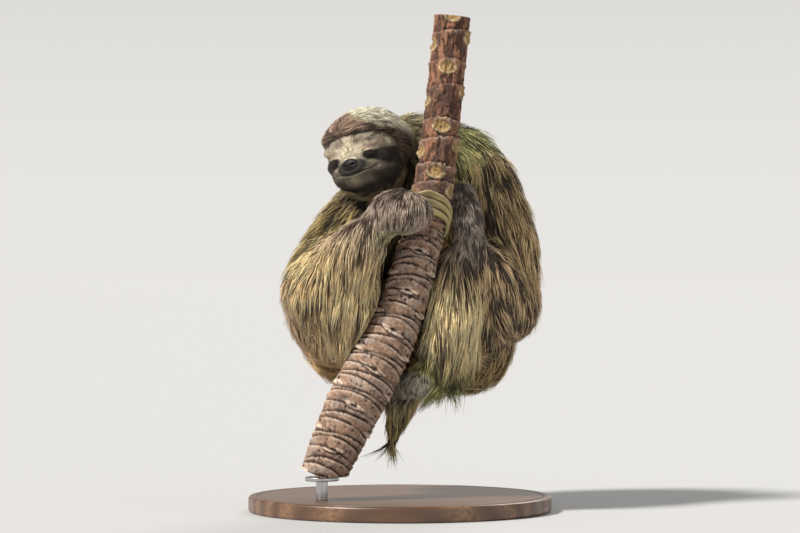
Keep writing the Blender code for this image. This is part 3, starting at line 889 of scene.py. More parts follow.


# Markings: the same tones colour the hide and the hair over it. Each part has a light and a dark
# tone of hair and a share of the light one, and the face has its own pattern, with painted shade
# under the hood and jaw and a painted highlight on the nose's bridge.

TONES = {
    "torso": ((0.78, 0.50, 0.23), (0.055, 0.031, 0.017), 0.44),
    "neck": ((0.56, 0.46, 0.19), (0.040, 0.027, 0.015), 0.44),
    "tail": ((0.66, 0.48, 0.23), (0.043, 0.032, 0.018), 0.46),
    "upper_arm_right": ((0.46, 0.35, 0.14), (0.040, 0.026, 0.015), 0.36),
    "upper_arm_left": ((0.66, 0.46, 0.24), (0.053, 0.033, 0.020), 0.44),
    "forearm_right": ((0.97, 0.68, 0.35), (0.096, 0.052, 0.026), 0.56),
    "forearm_left": ((0.81, 0.56, 0.31), (0.057, 0.034, 0.019), 0.40),
    "thigh_right": ((0.83, 0.54, 0.24), (0.063, 0.036, 0.018), 0.48),
    "thigh_left": ((0.63, 0.43, 0.20), (0.055, 0.032, 0.017), 0.40),
    "shank_right": ((0.78, 0.47, 0.26), (0.102, 0.055, 0.031), 0.58),
    "shank_left": ((0.97, 0.72, 0.38), (0.078, 0.044, 0.021), 0.52),
    "hand_right": ((0.58, 0.45, 0.35), (0.080, 0.050, 0.035), 0.48),
    "hand_left": ((0.42, 0.34, 0.28), (0.110, 0.080, 0.062), 0.45),
    "foot_right": ((0.36, 0.30, 0.24), (0.110, 0.085, 0.065), 0.50),
    "foot_left": ((0.52, 0.48, 0.38), (0.150, 0.125, 0.095), 0.52),
    "head": ((0.54, 0.36, 0.25), (0.090, 0.050, 0.033), 0.50),
}
LIGHT = np.array([TONES[name][0] for name in PARTS])
DARK = np.array([TONES[name][1] for name in PARTS])
LIGHT_SHARE = np.array([TONES[name][2] for name in PARTS])
ALGAE_PALE, ALGAE_DARK = (0.47, 0.45, 0.18), np.array([0.24, 0.25, 0.08]) * 0.22
LOW_LEG_PALE, LOW_LEG_DARK = (0.34, 0.34, 0.11), (0.06, 0.06, 0.020)
STRAW, WRIST_GREY = (0.50, 0.45, 0.25), (0.48, 0.39, 0.30)
ELBOW_PINK, FLANK_PINK, THIGH_RUST = (0.47, 0.33, 0.24), (0.44, 0.31, 0.21), (0.60, 0.36, 0.22)
BLOND, BLOND_DARK = (0.95, 0.86, 0.62), (0.26, 0.17, 0.10)
TEMPLE_PALE, TEMPLE_DARK = (0.14, 0.10, 0.06), (0.030, 0.020, 0.014)
RIM_PALE, RIM_DARK = (0.25, 0.20, 0.09), (0.035, 0.023, 0.014)
HEAD_BACK = (0.45, 0.42, 0.18)
FACE_CREAM = np.array([0.84, 0.74, 0.56])
FACE_DARK = np.array([0.052, 0.034, 0.026])
FACE_GREY = np.array([0.23, 0.21, 0.15])
FACE_BUFF, BROW_SHADOW_BROWN, CHEEK_BROWN = (0.42, 0.35, 0.20), (0.075, 0.052, 0.036), (0.22, 0.155, 0.125)
LID_PINK, STREAK_TAN, BRIDGE_HIGHLIGHT_GREY = (0.36, 0.23, 0.19), (0.45, 0.31, 0.20), (0.27, 0.25, 0.20)
MUZZLE_BLACK, NOSE_BLACK = (0.024, 0.020, 0.018), (0.008, 0.007, 0.007)
CHIN_TAN, LIP_PALE, RIM_SHADOW_BROWN = (0.50, 0.40, 0.26), (0.46, 0.42, 0.33), (0.060, 0.042, 0.030)
SOLE_GREY = (0.42, 0.41, 0.36)
# Painted shade: the hide lies in the shade under the coat, so it is drawn darker than the hair over it
HIDE_SHADE = 0.55  # the hide is darker than the hair over it


def toward(tone, other, share):
    return tinted(tone, other, np.clip(share, 0, 1))


def face_share(local):
    """1 on the face, 0 under the hood and behind the cheeks."""
    return (1 - smooth_step(0.88, 1.02, hood_share(local)[0])) * smooth_step(2, 12, local[:, 1])


def tones_at(places, weights):
    """Light tone, dark tone, the light one's share and the face's, at places with weights of parts."""
    light, dark, share = weights @ LIGHT, weights @ DARK, weights @ LIGHT_SHARE
    part = {name: weights[:, PARTS.index(name)] for name in PARTS}
    patchy = layered_noise(places * 28, 301, 3)
    share = share + 0.36 * (patchy - 0.5)
    height = places[:, 2]
    left = places[:, 0]

    # Algae greens the shoulders and nape, and the ends of the long hair low on the left leg
    upper = part["neck"] + 0.9 * part["upper_arm_right"]
    upper += 0.35 * part["torso"]
    upper += 0.35 * part["upper_arm_left"]
    green = upper * smooth_step(0.30, 0.37, height) * smooth_step(0.35, 0.6, layered_noise(places * 22, 311))
    green += 0.4 * part["tail"] + 0.35 * part["thigh_left"] * smooth_step(0.2, 0.13, height)
    green += 0.4 * part["neck"]
    light, dark = toward(light, ALGAE_PALE, 0.70 * green), toward(dark, ALGAE_DARK, 0.4 * green)
    low_leg = part["shank_left"] * smooth_step(0.195, 0.145, height)
    light, dark = toward(light, LOW_LEG_PALE, low_leg), toward(dark, LOW_LEG_DARK, low_leg)

    # The right hand is greyer on its back and straw below; the elbow's edge is pinkish
    low_hand = part["hand_right"] * smooth_step(0.300, 0.285, height)
    light = toward(light, STRAW, low_hand)
    wrist = part["forearm_right"] * smooth_step(0.262, 0.300, height)
    light = toward(light, WRIST_GREY, 0.8 * wrist)
    outer = (part["forearm_right"] + part["upper_arm_right"]) * smooth_step(-0.088, -0.108, left)
    light = toward(light, ELBOW_PINK, 0.8 * outer)
    flank = (part["torso"] + part["thigh_right"]) * smooth_step(-0.075, -0.105, left)
    flank *= smooth_step(0.165, 0.20, height)
    light = toward(light, FLANK_PINK, 0.8 * flank)
    inner = (part["thigh_right"] + part["shank_right"]) * smooth_step(-0.070, -0.045, left)
    inner *= smooth_step(0.215, 0.185, height)
    light = toward(light, THIGH_RUST, 0.8 * inner)

    # Head: brown felted hood, blond crown, and the mask of the face
    local = to_head(places)
    head = part["head"]
    crown = smooth_step(34, 24, local[:, 1]) * smooth_step(35, 43, local[:, 2] + 0.45 * local[:, 0])
    crown *= 0.80 + 0.9 * (layered_noise(local * 0.09, 321) - 0.25)
    near_crown = 0.85 * smooth_step(0.038, 0.022, left) * smooth_step(0.372, 0.388, height)
    by_crown = np.clip(head + near_crown, 0, 1)
    light = toward(light, BLOND, by_crown * crown * 1.35)
    share = share + 0.25 * np.clip(by_crown * crown, 0, 1)
    dark = toward(dark, BLOND_DARK, by_crown * crown * 0.7)
    temple = head * smooth_step(13, 4, local[:, 2]) * smooth_step(28, 36, np.abs(local[:, 0]))
    temple *= 0.85 * smooth_step(-20, -12, local[:, 2])
    light, dark = toward(light, TEMPLE_PALE, temple), toward(dark, TEMPLE_DARK, temple)
    below_rim = 0.9 * head * smooth_step(-12, -20, local[:, 2]) * smooth_step(26, 16, local[:, 1])
    light, dark = toward(light, RIM_PALE, below_rim), toward(dark, RIM_DARK, below_rim)
    back = head * smooth_step(0, -26, local[:, 1])
    light = toward(light, HEAD_BACK, back * 0.6)
    return light, dark, share, head * face_share(local)


def face_tones(local):
    """The face's pattern, pale, with dark stripes through the eyes, painted shade under the hood and jaw, a
    painted highlight on the bridge, and the share of the nose's pad.
    """
    across, ahead, up = np.abs(local[:, 0]), local[:, 1], local[:, 2]
    mottle = layered_noise(local * 0.35, 331, 3)
    fine = layered_noise(local * 0.9, 341, 2)
    drift = (layered_noise(local * 0.16, 361, 2) - 0.5) * 5
    tone = np.tile(FACE_CREAM, (len(local), 1)) * (0.70 + 0.5 * mottle)[:, None]
    patch = smooth_step(0.46, 0.66, layered_noise(local * 0.22, 351))
    tone = toward(tone, FACE_BUFF, 0.60 * patch)
    blotch = smooth_step(0.54, 0.70, layered_noise(local * 0.30, 357)) * smooth_step(3, 12, up)
    tone = toward(tone, FACE_DARK * 1.8, 0.8 * blotch)
    # Painted shadow of the hood on the forehead, dark brown with pale streaks
    hood_shadow_on_brow = smooth_step(10.5, 17, up + drift * 0.8 + 2.5 * smooth_step(0, 14, local[:, 0]))
    hood_shadow_on_brow *= smooth_step(3, 9, across + 0.4 * drift)
    streaky = smooth_step(0.42, 0.62, layered_noise(local * [0.16, 0.16, 0.55], 359, 2))
    tone = toward(tone, BROW_SHADOW_BROWN, hood_shadow_on_brow * (0.95 - 0.50 * streaky))

    # Brownish cheek, darker behind, and a pinkish upper lid
    cheek = smooth_step(12, 22, across) * smooth_step(-5, -11, up)
    tone = toward(tone, CHEEK_BROWN, 0.85 * cheek)
    tone = toward(tone, FACE_DARK, 0.85 * smooth_step(24, 33, across + drift) * smooth_step(4, -6, up))
    tone = toward(tone, LID_PINK, 0.85 * (ridge(across - 21, 7) * ridge(up - 6.8, 2.6)))

    # The stripe from the eye's inner corner back and down across the cheek, widening as it goes
    back = np.maximum(across - 20, 0)
    top = 3.2 + drift * 0.3 - 0.10 * back
    low = -4.6 - 0.60 * back - drift * 0.4
    stripe = smooth_step(12.0, 15.5, across) * smooth_step(top + 1.3, top - 0.6, up)
    stripe *= smooth_step(low - 2.2, low + 0.8, up)
    tone = toward(tone, FACE_DARK * 0.62, 0.96 * stripe)
    from_eye = across - 21.5
    socket_gap = np.hypot(from_eye / 11.0, (up + 1.0 + 0.10 * from_eye) / 4.9)
    tone = toward(tone, FACE_DARK * 0.40, 0.97 * (1 - smooth_step(0.70, 1.15, socket_gap)))
    corner = ridge(np.hypot((across - 30.5) / 1.3, up - 1.0), 4.2)
    tone = toward(tone, FACE_DARK * 0.6, 0.85 * corner)
    streak = ridge(up - 11.8 + 1.23 * (across - 34.7), 2.2) * smooth_step(28, 32, across)
    tone = toward(tone, STREAK_TAN, 0.75 * streak)

    # Black short hair round the nose down to the mouth, with a painted grey highlight on the bridge
    snout_gap = np.hypot(across / (17.5 + drift * 0.3), (up + 9.0) / 8.4)
    snout = (1 - smooth_step(0.80, 1.10, snout_gap)) * smooth_step(29, 35, ahead)
    tone = toward(tone, MUZZLE_BLACK, 0.97 * snout)
    # A painted grey highlight on the top of the nose's bridge
    grey = ridge(np.hypot(across / 1.5, up + 0.6), 4.2) * smooth_step(35, 39, ahead)
    tone = toward(tone, BRIDGE_HIGHLIGHT_GREY, 0.6 * grey)
    gap, above = line_gap(np.column_stack([across, up]), MOUTH)
    jaw = smooth_step(0.2, 1.2, -above) * (gap < 40) * smooth_step(14, 22, ahead) * smooth_step(-13, -15, up)
    tone = toward(tone, FACE_GREY * (0.65 + 0.5 * mottle)[:, None], 0.9 * jaw)
    chin_edge = ridge(across, 6) * smooth_step(-17, -19, up) * smooth_step(-31, -26, up)
    tone = toward(tone, CHIN_TAN, 0.5 * chin_edge)
    lip = ridge(above + 1.2, 0.42) * (gap < 3) * smooth_step(20, 28, ahead)
    tone = toward(tone, LIP_PALE, 0.75 * lip)
    tone = toward(tone, FACE_DARK * 0.35, 0.97 * ridge(gap, 1.0) * smooth_step(20, 28, ahead))
    # Painted shade along the lower sides of the jaw and under the chin on the throat
    jaw_side_shade = smooth_step(10, 22, across + drift) * smooth_step(-14, -20, up)
    tone = toward(tone, FACE_DARK * 0.9, 0.9 * jaw_side_shade)
    throat = smooth_step(-24, -29, up) * smooth_step(42, 32, ahead)
    tone = toward(tone, FACE_DARK * 0.8, 0.9 * throat)

    # Painted shadow under the rolled rim of the hood all round the face, a dark felt brown
    edge, rise = hood_share(local)
    rim_shadow = smooth_step(0.70, 0.92, edge + 0.03 * drift) * smooth_step(-30, -5, rise)
    tone = toward(tone, RIM_SHADOW_BROWN, 0.92 * rim_shadow)
    pad_gap = np.hypot(across / NOSE_HALF[0], (up - NOSE_MIDDLE) / NOSE_HALF[1])
    pad = (1 - smooth_step(0.9, 1.1, pad_gap)) * smooth_step(38, 41, ahead)
    tone = toward(tone, NOSE_BLACK, pad)
    return tone * (0.76 + 0.48 * fine)[:, None], pad


skin_points = points_of(skin_mesh)
skin_normals = points_of(skin_mesh, "normal")
skin_pairs = edges_of(skin_mesh)
weights = np.eye(len(PARTS))[nearest_part(skin_points.tolist())]
in_head = to_head(skin_points)
front_of_head = (np.hypot(in_head[:, 0] / 50, in_head[:, 2] / 45) < 1) & (in_head[:, 1] > -6)
weights[front_of_head] = np.eye(len(PARTS))[PARTS.index("head")]
weights = relaxed(weights, skin_pairs, 26)
weights /= weights.sum(1, keepdims=True)
light, dark, _, on_face = tones_at(skin_points, weights)
face_tone, nose_pad = face_tones(in_head)
hide_tone = (light + (dark - light) * 0.75) * HIDE_SHADE
hide_tone = toward(hide_tone, face_tone, on_face)
bare_foot = weights[:, PARTS.index("foot_left")] * smooth_step(0.126, 0.119, skin_points[:, 2])
hide_tone = toward(hide_tone, SOLE_GREY, bare_foot * 0.9)

hide, tree, shader, tone_here, place = toned_material("hide", 0.72, Specular_IOR_Level=0.22)
fluff = noise_of(tree, 1500.0, 3.0, place)
tint(tree, shader, tone_here, share_of(tree, fluff, 0.3, 0.7, 0.72, 1.25))
bare_here = output(add_node(tree, "Attribute", {"attribute_name": "bare"}), "Fac")
tree.links.new(share_of(tree, bare_here, 0.0, 1.0, 0.78, 0.48), shader.inputs["Roughness"])
add_bump(tree, shader, fluff, 0.5, 0.0004)

skin = add_object("skin", skin_mesh)
skin_mesh.materials.clear()
skin_mesh.materials.append(hide)
hold_tone(skin_mesh, hide_tone)
layer = skin_mesh.attributes.new("bare", "FLOAT", "POINT")
layer.data.foreach_set("value", (nose_pad * on_face).astype(np.float32))
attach(skin, "root")
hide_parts(*PARTS, "ear_left", "ear_right")


# Coat: long coarse guard hairs in thin overlapping tufts that lie along the body and draw together
# into points. They hang freely at its lower edges, and are short and fine on the head, hands and feet.

GRAVITY = np.array([0.0, 0.0, -1.0])
# For each part: the way its hair is combed, length and tip height in millimetres, width, tufts per
# square centimetre, and how far it hangs
COMBING = {
    "torso": ((0.0, 0.25, -1.0), 46, 14.0, 1.10, 22, 0.40),
    "neck": ((0.25, 0.35, -0.9), 38, 12.0, 1.05, 24, 0.35),
    "tail": ((-0.15, -0.1, -1.0), 42, 8.0, 1.0, 30, 0.65),
    "upper_arm_right": ((-0.50, -0.30, -0.80), 38, 12.5, 1.05, 26, 0.40),
    "upper_arm_left": ((0.15, -0.15, -1.0), 40, 11.0, 1.05, 25, 0.40),
    "forearm_right": ((-0.50, 0.12, -0.88), 44, 11.5, 1.05, 27, 0.60),
    "forearm_left": ((0.45, 0.15, -0.90), 34, 9.0, 0.95, 28, 0.50),
    "thigh_right": ((0.30, -0.30, -0.90), 46, 13.0, 1.10, 25, 0.40),
    "thigh_left": ((0.15, -0.10, -1.0), 46, 13.0, 1.10, 24, 0.45),
    "shank_right": ((-0.35, -0.20, -0.90), 32, 9.0, 0.95, 28, 0.45),
    "shank_left": ((-0.05, -0.05, -1.0), 50, 10.5, 1.05, 32, 0.65),
    "hand_right": ((-0.30, -0.10, -1.0), 16, 4.2, 0.70, 60, 0.45),
    "hand_left": ((0.20, 0.05, -1.0), 13, 3.4, 0.70, 58, 0.35),
    "foot_right": ((0.1, -0.2, -1.0), 9, 2.6, 0.62, 70, 0.3),
    "foot_left": ((-0.2, -0.2, -1.0), 8, 2.4, 0.62, 70, 0.3),
    "head": ((0.40, 0.85, -0.25), 14, 2.5, 0.50, 80, 0.12),
}
COAT_PIECES = {
    "coat_back": ("fur_brown", ["torso"]),
    "coat_nape": ("fur_olive", ["neck"]),
    "coat_head": ("face_fur", ["head"]),
    "coat_arm_right": ("fur_tan", ["upper_arm_right", "forearm_right", "hand_right"]),
    "coat_arm_left": ("fur_tan", ["upper_arm_left", "forearm_left", "hand_left"]),
    "coat_leg_right": ("fur_tan", ["thigh_right", "shank_right", "foot_right"]),
    "coat_leg_left": ("fur_tan", ["thigh_left", "shank_left", "foot_left"]),
    "coat_tail": ("fur_brown", ["tail"]),
}
STEPS = 4
DENSITY = 1.28
FACE_HAIR = (3.4, 1.0, 0.32, 150, 0.05)  # length, tip height, width, tufts and hang on the face
WHORL_MIDDLE, WHORL_REACH = (0.052, 0.279), 0.022
SQUARE_CM = 1e4  # in a square metre
ROOT_DEPTH = 0.0008
STEM_ROOM, STEM_TOUCH, SIDED_BELOW = 0.0012, 0.0002, 0.272
TUFTS_A_LOCK = 9
DRAWN_FROM, DRAWN_OVER, DRAWN_MOST = 0.006, 0.018, 0.012
SHORT_HAIR = 0.0125  # tufts below this length have two segments, the others three
MOST_TRIANGLES, FEWEST_TUFTS = 195000, 20
PATCH = 0.003  # side of each tuft's patch in the unwrap
# For three segments and for two: the steps that a tuft's rings stand at, their widths, and the painted light
# at each ring, shade at the root between the tufts and a highlight at the tip
ALONG = {3: (0, 1, 2, 4), 2: (0, 2, 4)}
WIDTHS = {3: (0.75, 1.0, 0.80), 2: (0.9, 0.70)}
ROOT_SHADE_TIP_HIGHLIGHT = {3: (0.20, 0.48, 1.02, 1.66), 2: (0.42, 0.93, 1.30)}

skin_mesh.calc_loop_triangles()
triangles = np.empty(len(skin_mesh.loop_triangles) * 3, np.int32)
skin_mesh.loop_triangles.foreach_get("vertices", triangles)
triangles = triangles.reshape(-1, 3)
skin_tree = BVHTree.FromPolygons(skin_points.tolist(), triangles.tolist())

combed = weights @ np.array([COMBING[name][1:] for name in PARTS], float)
lie = weights @ unit(np.array([COMBING[name][0] for name in PARTS]))


def turn_hair(share, way):
    """Turns the hair towards another way, by a share for each point."""
    lie[:] += (unit(np.array(way, float)) - lie) * np.clip(share, 0, 1)[:, None]


def comb(parts, region, way):
    """Turns the hair of those parts towards another way, where region is 1."""
    turn_hair(sum(weights[:, PARTS.index(part)] for part in parts) * region, way)


# Over the parts' own combing: the right elbow, wrist and flank, and the whorl on the left knee
left, front, height = skin_points.T
elbow = smooth_step(-0.080, -0.105, left) * smooth_step(0.20, 0.24, height)
comb(["forearm_right"], elbow, (-0.74, 0.1, -0.66))
comb(["forearm_right"], smooth_step(0.235, 0.205, height), (0.05, -0.15, -1.0))
comb(["forearm_right"], smooth_step(-0.085, -0.060, left), (-0.10, 0.0, -1.0))
comb(["upper_arm_right"], smooth_step(-0.085, -0.110, left), (-0.60, 0.0, -0.80))
flank = smooth_step(-0.085, -0.110, left) * smooth_step(0.24, 0.20, height)
comb(["thigh_right", "torso"], flank, (0.36, -0.1, -0.93))
inner = smooth_step(-0.070, -0.050, left) * smooth_step(0.225, 0.195, height)
comb(["shank_right", "thigh_right"], inner, (-0.45, -0.1, -0.88))
whorl = np.column_stack([left - WHORL_MIDDLE[0], height - WHORL_MIDDLE[1]])
whorl_share = ridge(np.linalg.norm(whorl, axis=1), WHORL_REACH) * (front < STEM_Y)
whorl_way = np.column_stack([whorl[:, 0], np.zeros(len(whorl)), whorl[:, 1] - 0.008])
comb(["shank_left", "thigh_left"], whorl_share, whorl_way)

# The head's own combing: back from the rim of the hood, outward from the muzzle on the face, with
# longer hair on the crown and below the rim
head_share = weights[:, PARTS.index("head")]
parted = np.clip((in_head[:, 0] + 15) / 14, -1, 1)
back_way = np.column_stack([1.05 * parted, -0.50 - 0.5 * (1 - np.abs(parted)), -0.15 * np.abs(parted)])
from_muzzle = in_head - np.array([0, 46, -2])
from_muzzle[:, 1] *= 0.6
head_way = np.where(on_face[:, None] > 0.5, unit(from_muzzle), unit(back_way))
head_way = (head_way * [1, -1, 1]) @ head_turn.T
lie = lie * (1 - head_share[:, None]) + head_way * head_share[:, None]
on_crown = smooth_step(30, 14, in_head[:, 1]) * smooth_step(30, 42, in_head[:, 2] + 0.45 * in_head[:, 0])
combed += np.outer(head_share * on_crown * (1 - on_face), [10, 1.6, 0.22, -36, 0.10])
rim_hair = head_share * smooth_step(-10, -18, in_head[:, 2]) * smooth_step(28, 18, in_head[:, 1])
rim_hair *= 1 - on_face
combed += np.outer(rim_hair, [8, 3.0, 0.25, -36, 0.35])
turn_hair(rim_hair, (-0.35, -0.25, -0.90))
by_foot = smooth_step(0.042, 0.030, left) * smooth_step(0.215, 0.185, height)
comb(["shank_left"], by_foot, (0.55, -0.10, -0.83))
combed += np.outer(weights[:, PARTS.index("shank_left")] * by_foot, [-32, -4.5, 0, 0, 0])
combed = combed * (1 - on_face[:, None]) + np.outer(on_face, FACE_HAIR)

# Nose, eyes, lips and sole are bare
bare = np.clip(nose_pad * on_face * 3, 0, 1)
for side in (1, -1):
    out, up = eye_offsets(in_head, side)
    bare = np.maximum(bare, on_face * (np.hypot(out / 5.8, up / 1.9) < 1))
lip_gap = line_gap(np.column_stack([np.abs(in_head[:, 0]), in_head[:, 2]]), MOUTH)[0]
bare = np.maximum(bare, on_face * (lip_gap < 1.1) * (in_head[:, 1] > 20))
combed[:, 3] *= 1 - bare
combed[:, 3] *= 1 - bare_foot
lie = unit(relaxed(unit(lie), skin_pairs, 12))

# The roots of the tufts, scattered over the skin as densely as each part's coat
rng = np.random.default_rng(20)
corners = skin_points[triangles]
area = 0.5 * np.linalg.norm(np.cross(corners[:, 1] - corners[:, 0], corners[:, 2] - corners[:, 0]), axis=1)
per_face = area * SQUARE_CM * combed[triangles, 3].mean(1) * DENSITY
count = (per_face + rng.uniform(size=len(per_face))).astype(int)
on = np.repeat(np.arange(len(triangles)), count)
a, b = rng.uniform(size=(2, len(on)))
flip = a + b > 1
a, b = np.where(flip, 1 - a, a), np.where(flip, 1 - b, b)
corner_share = np.column_stack([1 - a - b, a, b])


def at_roots(values):
    return np.einsum("ij,ij...->i...", corner_share, values[triangles[on]])


root = at_roots(skin_points)
root_normal = unit(at_roots(skin_normals))
root_lie = unit(at_roots(lie))
root_size = at_roots(combed)
root_weights = at_roots(weights)
root_face = at_roots(on_face)
tufts = len(root)
length = root_size[:, 0] * MM * rng.uniform(0.65, 1.25, tufts)
rise_to = root_size[:, 1] * MM * rng.uniform(0.45, 1.15, tufts)
width = root_size[:, 2] * MM * rng.uniform(0.6, 1.35, tufts)
hang = root_size[:, 4]

# Each tuft belongs to a lock. The dark locks lie a little lower than the pale ones
seeds = rng.permutation(tufts)[: tufts // TUFTS_A_LOCK]
finder = KDTree(len(seeds))
for k, seed in enumerate(seeds):
    finder.insert(root[seed], k)
finder.balance()
lock = seeds[np.array([finder.find(point)[1] for point in root])]
pick = 0.66 * rng.uniform(size=tufts)[lock] + 0.34 * rng.uniform(size=tufts)
rise_to *= 1.36 - 0.50 * pick * (1 - root_face)

# Combing wanders a little, the same way for neighbours, and each tuft a little more by itself
wander = np.stack([layered_noise(root * 38, 400 + k, 2) for k in range(3)], 1) - 0.5
way = root_lie + 0.9 * wander + rng.normal(0, 0.10, (tufts, 3))
way -= (way * root_normal).sum(1, keepdims=True) * root_normal
way = unit(way)

# Hair lies against the stem and never goes through it. Low down it falls to its root's own side
stem_x, stem_z, stem_radius = axis[::8].T
stem_side = np.where(root[:, 0] - np.interp(root[:, 2], stem_z, stem_x) > 0, 1.0, -1.0)


def off_stem(places):
    """Places pushed out of the stem."""
    middle_x = np.interp(places[:, 2], stem_z, stem_x)
    lean_x = np.interp(places[:, 2], stem_z, np.gradient(stem_x, stem_z))
    squeeze = 1 / np.sqrt(1 + lean_x**2)
    offset = np.column_stack([(places[:, 0] - middle_x) * squeeze, places[:, 1] - STEM_Y])
    gap = np.linalg.norm(offset, axis=1)
    need = np.interp(places[:, 2], stem_z, stem_radius) + STEM_ROOM
    grow = np.where(gap < need, need / np.maximum(gap, 1e-6), 1.0)
    places[:, 0] = middle_x + offset[:, 0] * grow / squeeze
    places[:, 1] = STEM_Y + offset[:, 1] * grow
    aside = (places[:, 0] - middle_x) * squeeze
    touch = need - STEM_ROOM + STEM_TOUCH
    beside = (places[:, 1] < STEM_Y) & (places[:, 2] < SIDED_BELOW) & (np.abs(aside) < touch)
    places[:, 0] = np.where(beside, middle_x + stem_side * touch / squeeze, places[:, 0])
    return places


# Each tuft grows in steps along the skin, hanging as it goes, and rises to its tip's height
path = np.zeros((STEPS + 1, tufts, 3))
up_way = np.zeros((STEPS + 1, tufts, 3))
path[0] = root - root_normal * ROOT_DEPTH
up_way[0] = root_normal
here, out = root.copy(), root_normal.copy()
heading = way.copy()
for step in range(1, STEPS + 1):
    done = step / STEPS
    heading = unit(heading + hang[:, None] * GRAVITY * 0.55)
    outward = (heading * out).sum(1, keepdims=True)
    loose = np.where(outward > 0, 1 - 0.55 * hang[:, None], 1.0)
    heading = unit(heading - outward * out * loose)
    reach = here + heading * (length / STEPS)[:, None]
    target = rise_to * (1 - (1 - done) ** 2.2)
    for k in range(tufts):
        found = skin_tree.find_nearest(reach[k])
        normal = found[1]
        gap = reach[k] - found[0]
        above = gap @ normal
        out[k] = normal
        if above < target[k]:
            reach[k] = np.array(found[0]) + np.array(normal) * target[k]
        elif found[3] > target[k] * 1.6 and hang[k] < 0.25:
            reach[k] = np.array(found[0]) + gap / found[3] * target[k] * 1.6
    reach = off_stem(reach)
    path[step] = reach
    up_way[step] = out
    here = reach

# Neighbours draw together towards the ends, into pointed locks
pull = rng.uniform(0.50, 0.97, tufts) * (1 - root_face) * np.clip((length - DRAWN_FROM) / DRAWN_OVER, 0, 1)
same_way = np.clip((way * way[lock]).sum(1), 0, 1)
for step in range(1, STEPS + 1):
    shift = path[step][lock] - path[step]
    far = np.linalg.norm(shift, axis=1, keepdims=True)
    shift *= np.clip(DRAWN_MOST / np.maximum(far, 1e-6), 0, 1)
    path[step] += shift * (pull * same_way * (step / STEPS) ** 1.6)[:, None]
for step in range(1, STEPS + 1):
    path[step] = off_stem(path[step])

light, dark, light_share, _ = tones_at(root, root_weights)
face_tone, _ = face_tones(to_head(root))
mix = smooth_step(0.10, -0.10, pick - np.clip(light_share, 0.05, 0.95))
tone = dark + (light - dark) * mix[:, None]
tone *= rng.uniform(0.70, 1.28, tufts)[:, None]
tone = toward(tone, face_tone * rng.uniform(0.8, 1.25, tufts)[:, None], root_face)

coat, tree, shader, tone_here, place = toned_material(
    "coat", 0.62, Specular_IOR_Level=0.35, Sheen_Weight=0.12
)
fluff = noise_of(tree, 1100.0, 3.0, place)
tint(tree, shader, tone_here, share_of(tree, fluff, 0.3, 0.7, 0.80, 1.2))
add_bump(tree, shader, fluff, 0.35, 0.0003)


def make_coat(name, chosen, segments):
    """One piece of the coat from the chosen tufts, each a closed three-sided spike."""
    line = path[list(ALONG[segments])][:, chosen]
    over = up_way[list(ALONG[segments])][:, chosen]
    n = len(chosen)
    turn = rng.uniform(-0.5, 0.5, n)[:, None]
    points, tones, across = [], [], []
    for k in range(segments):
        forward = unit(line[k + 1] - line[max(k - 1, 0)])
        sideways = unit(np.cross(forward, over[k]))
        upward = np.cross(sideways, forward)
        sideways, upward = (
            sideways * np.cos(turn) + upward * np.sin(turn),
            upward * np.cos(turn) - sideways * np.sin(turn),
        )
        half = (width[chosen] * 0.5 * WIDTHS[segments][k])[:, None]
        points += [line[k] - sideways * half, line[k] + sideways * half, line[k] + upward * half * 0.9]
        # Each ring's tone is darkened by painted shade near the root and lightened by a painted highlight at
        # the tip
        tones += [tone[chosen] * ROOT_SHADE_TIP_HIGHLIGHT[segments][k]] * 3
        across += [(0, k), (1, k), (0.5, k)]
    points.append(line[segments])
    tones.append(tone[chosen] * ROOT_SHADE_TIP_HIGHLIGHT[segments][segments])
    across.append((0.5, segments))
    corners = len(points)
    points = np.stack(points, 1).reshape(-1, 3)
    tones = np.clip(np.stack(tones, 1).reshape(-1, 3), 0, 1)
    faces = [(2, 1, 0)]
    for k in range(segments - 1):
        for a, b in ((0, 1), (1, 2), (2, 0)):
            faces += [(3 * k + a, 3 * k + b, 3 * k + 3 + b), (3 * k + a, 3 * k + 3 + b, 3 * k + 3 + a)]
    last = 3 * (segments - 1)
    faces += [(last, last + 1, corners - 1), (last + 1, last + 2, corners - 1), (last + 2, last, corners - 1)]
    faces = (np.arange(n)[:, None, None] * corners + np.array(faces)[None]).reshape(-1, 3)
    piece = new_piece(name, points, faces, coat)
    hold_tone(piece.data, tones)

    # The unwrap: around and along the middle of this part of the skin
    spots = root[chosen] - root[chosen].mean(0)
    _, _, ways = np.linalg.svd(spots[:: max(1, n // 3000)], full_matrices=False)
    turned_spots = spots @ ways.T
    around_u = np.arctan2(turned_spots[:, 2], turned_spots[:, 1]) / (2 * math.pi) + 0.5
    along_v = (turned_spots[:, 0] - turned_spots[:, 0].min()) / np.ptp(turned_spots[:, 0])
    base = np.column_stack([around_u, along_v]) * (1 - PATCH)
    patch = np.array(across, float) / [1, segments] * PATCH
    spread = (base[:, None] + patch[None]).reshape(-1, 2)
    layer = piece.data.uv_layers.new(name="OFBake")
    layer.data.foreach_set("uv", spread[faces.ravel()].astype(np.float32).ravel())
    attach(piece, "root")


owner = root_weights.argmax(1)
short = length < SHORT_HAIR
for name, (slot, parts) in COAT_PIECES.items():
    mine = np.isin(owner, [PARTS.index(part) for part in parts])
    for kind, segments, some in (("", 3, mine & ~short), ("_short", 2, mine & short)):
        chosen = np.flatnonzero(some)
        limit = MOST_TRIANGLES // (6 * segments - 2)
        for number, start in enumerate(range(0, len(chosen), limit)):
            batch = chosen[start : start + limit]
            if len(batch) > FEWEST_TUFTS:
                ending = f"_{number + 1}" if len(chosen) > limit else ""
                make_coat(name + kind + ending, batch, segments)


# Claws: three long hooks of horn on each hand and foot, sheathing the last bones of the toes. Each is
# a little flattened at the sides, grooved beneath and ridged along its back, and its root sits deep
# in the short fur of the toe.

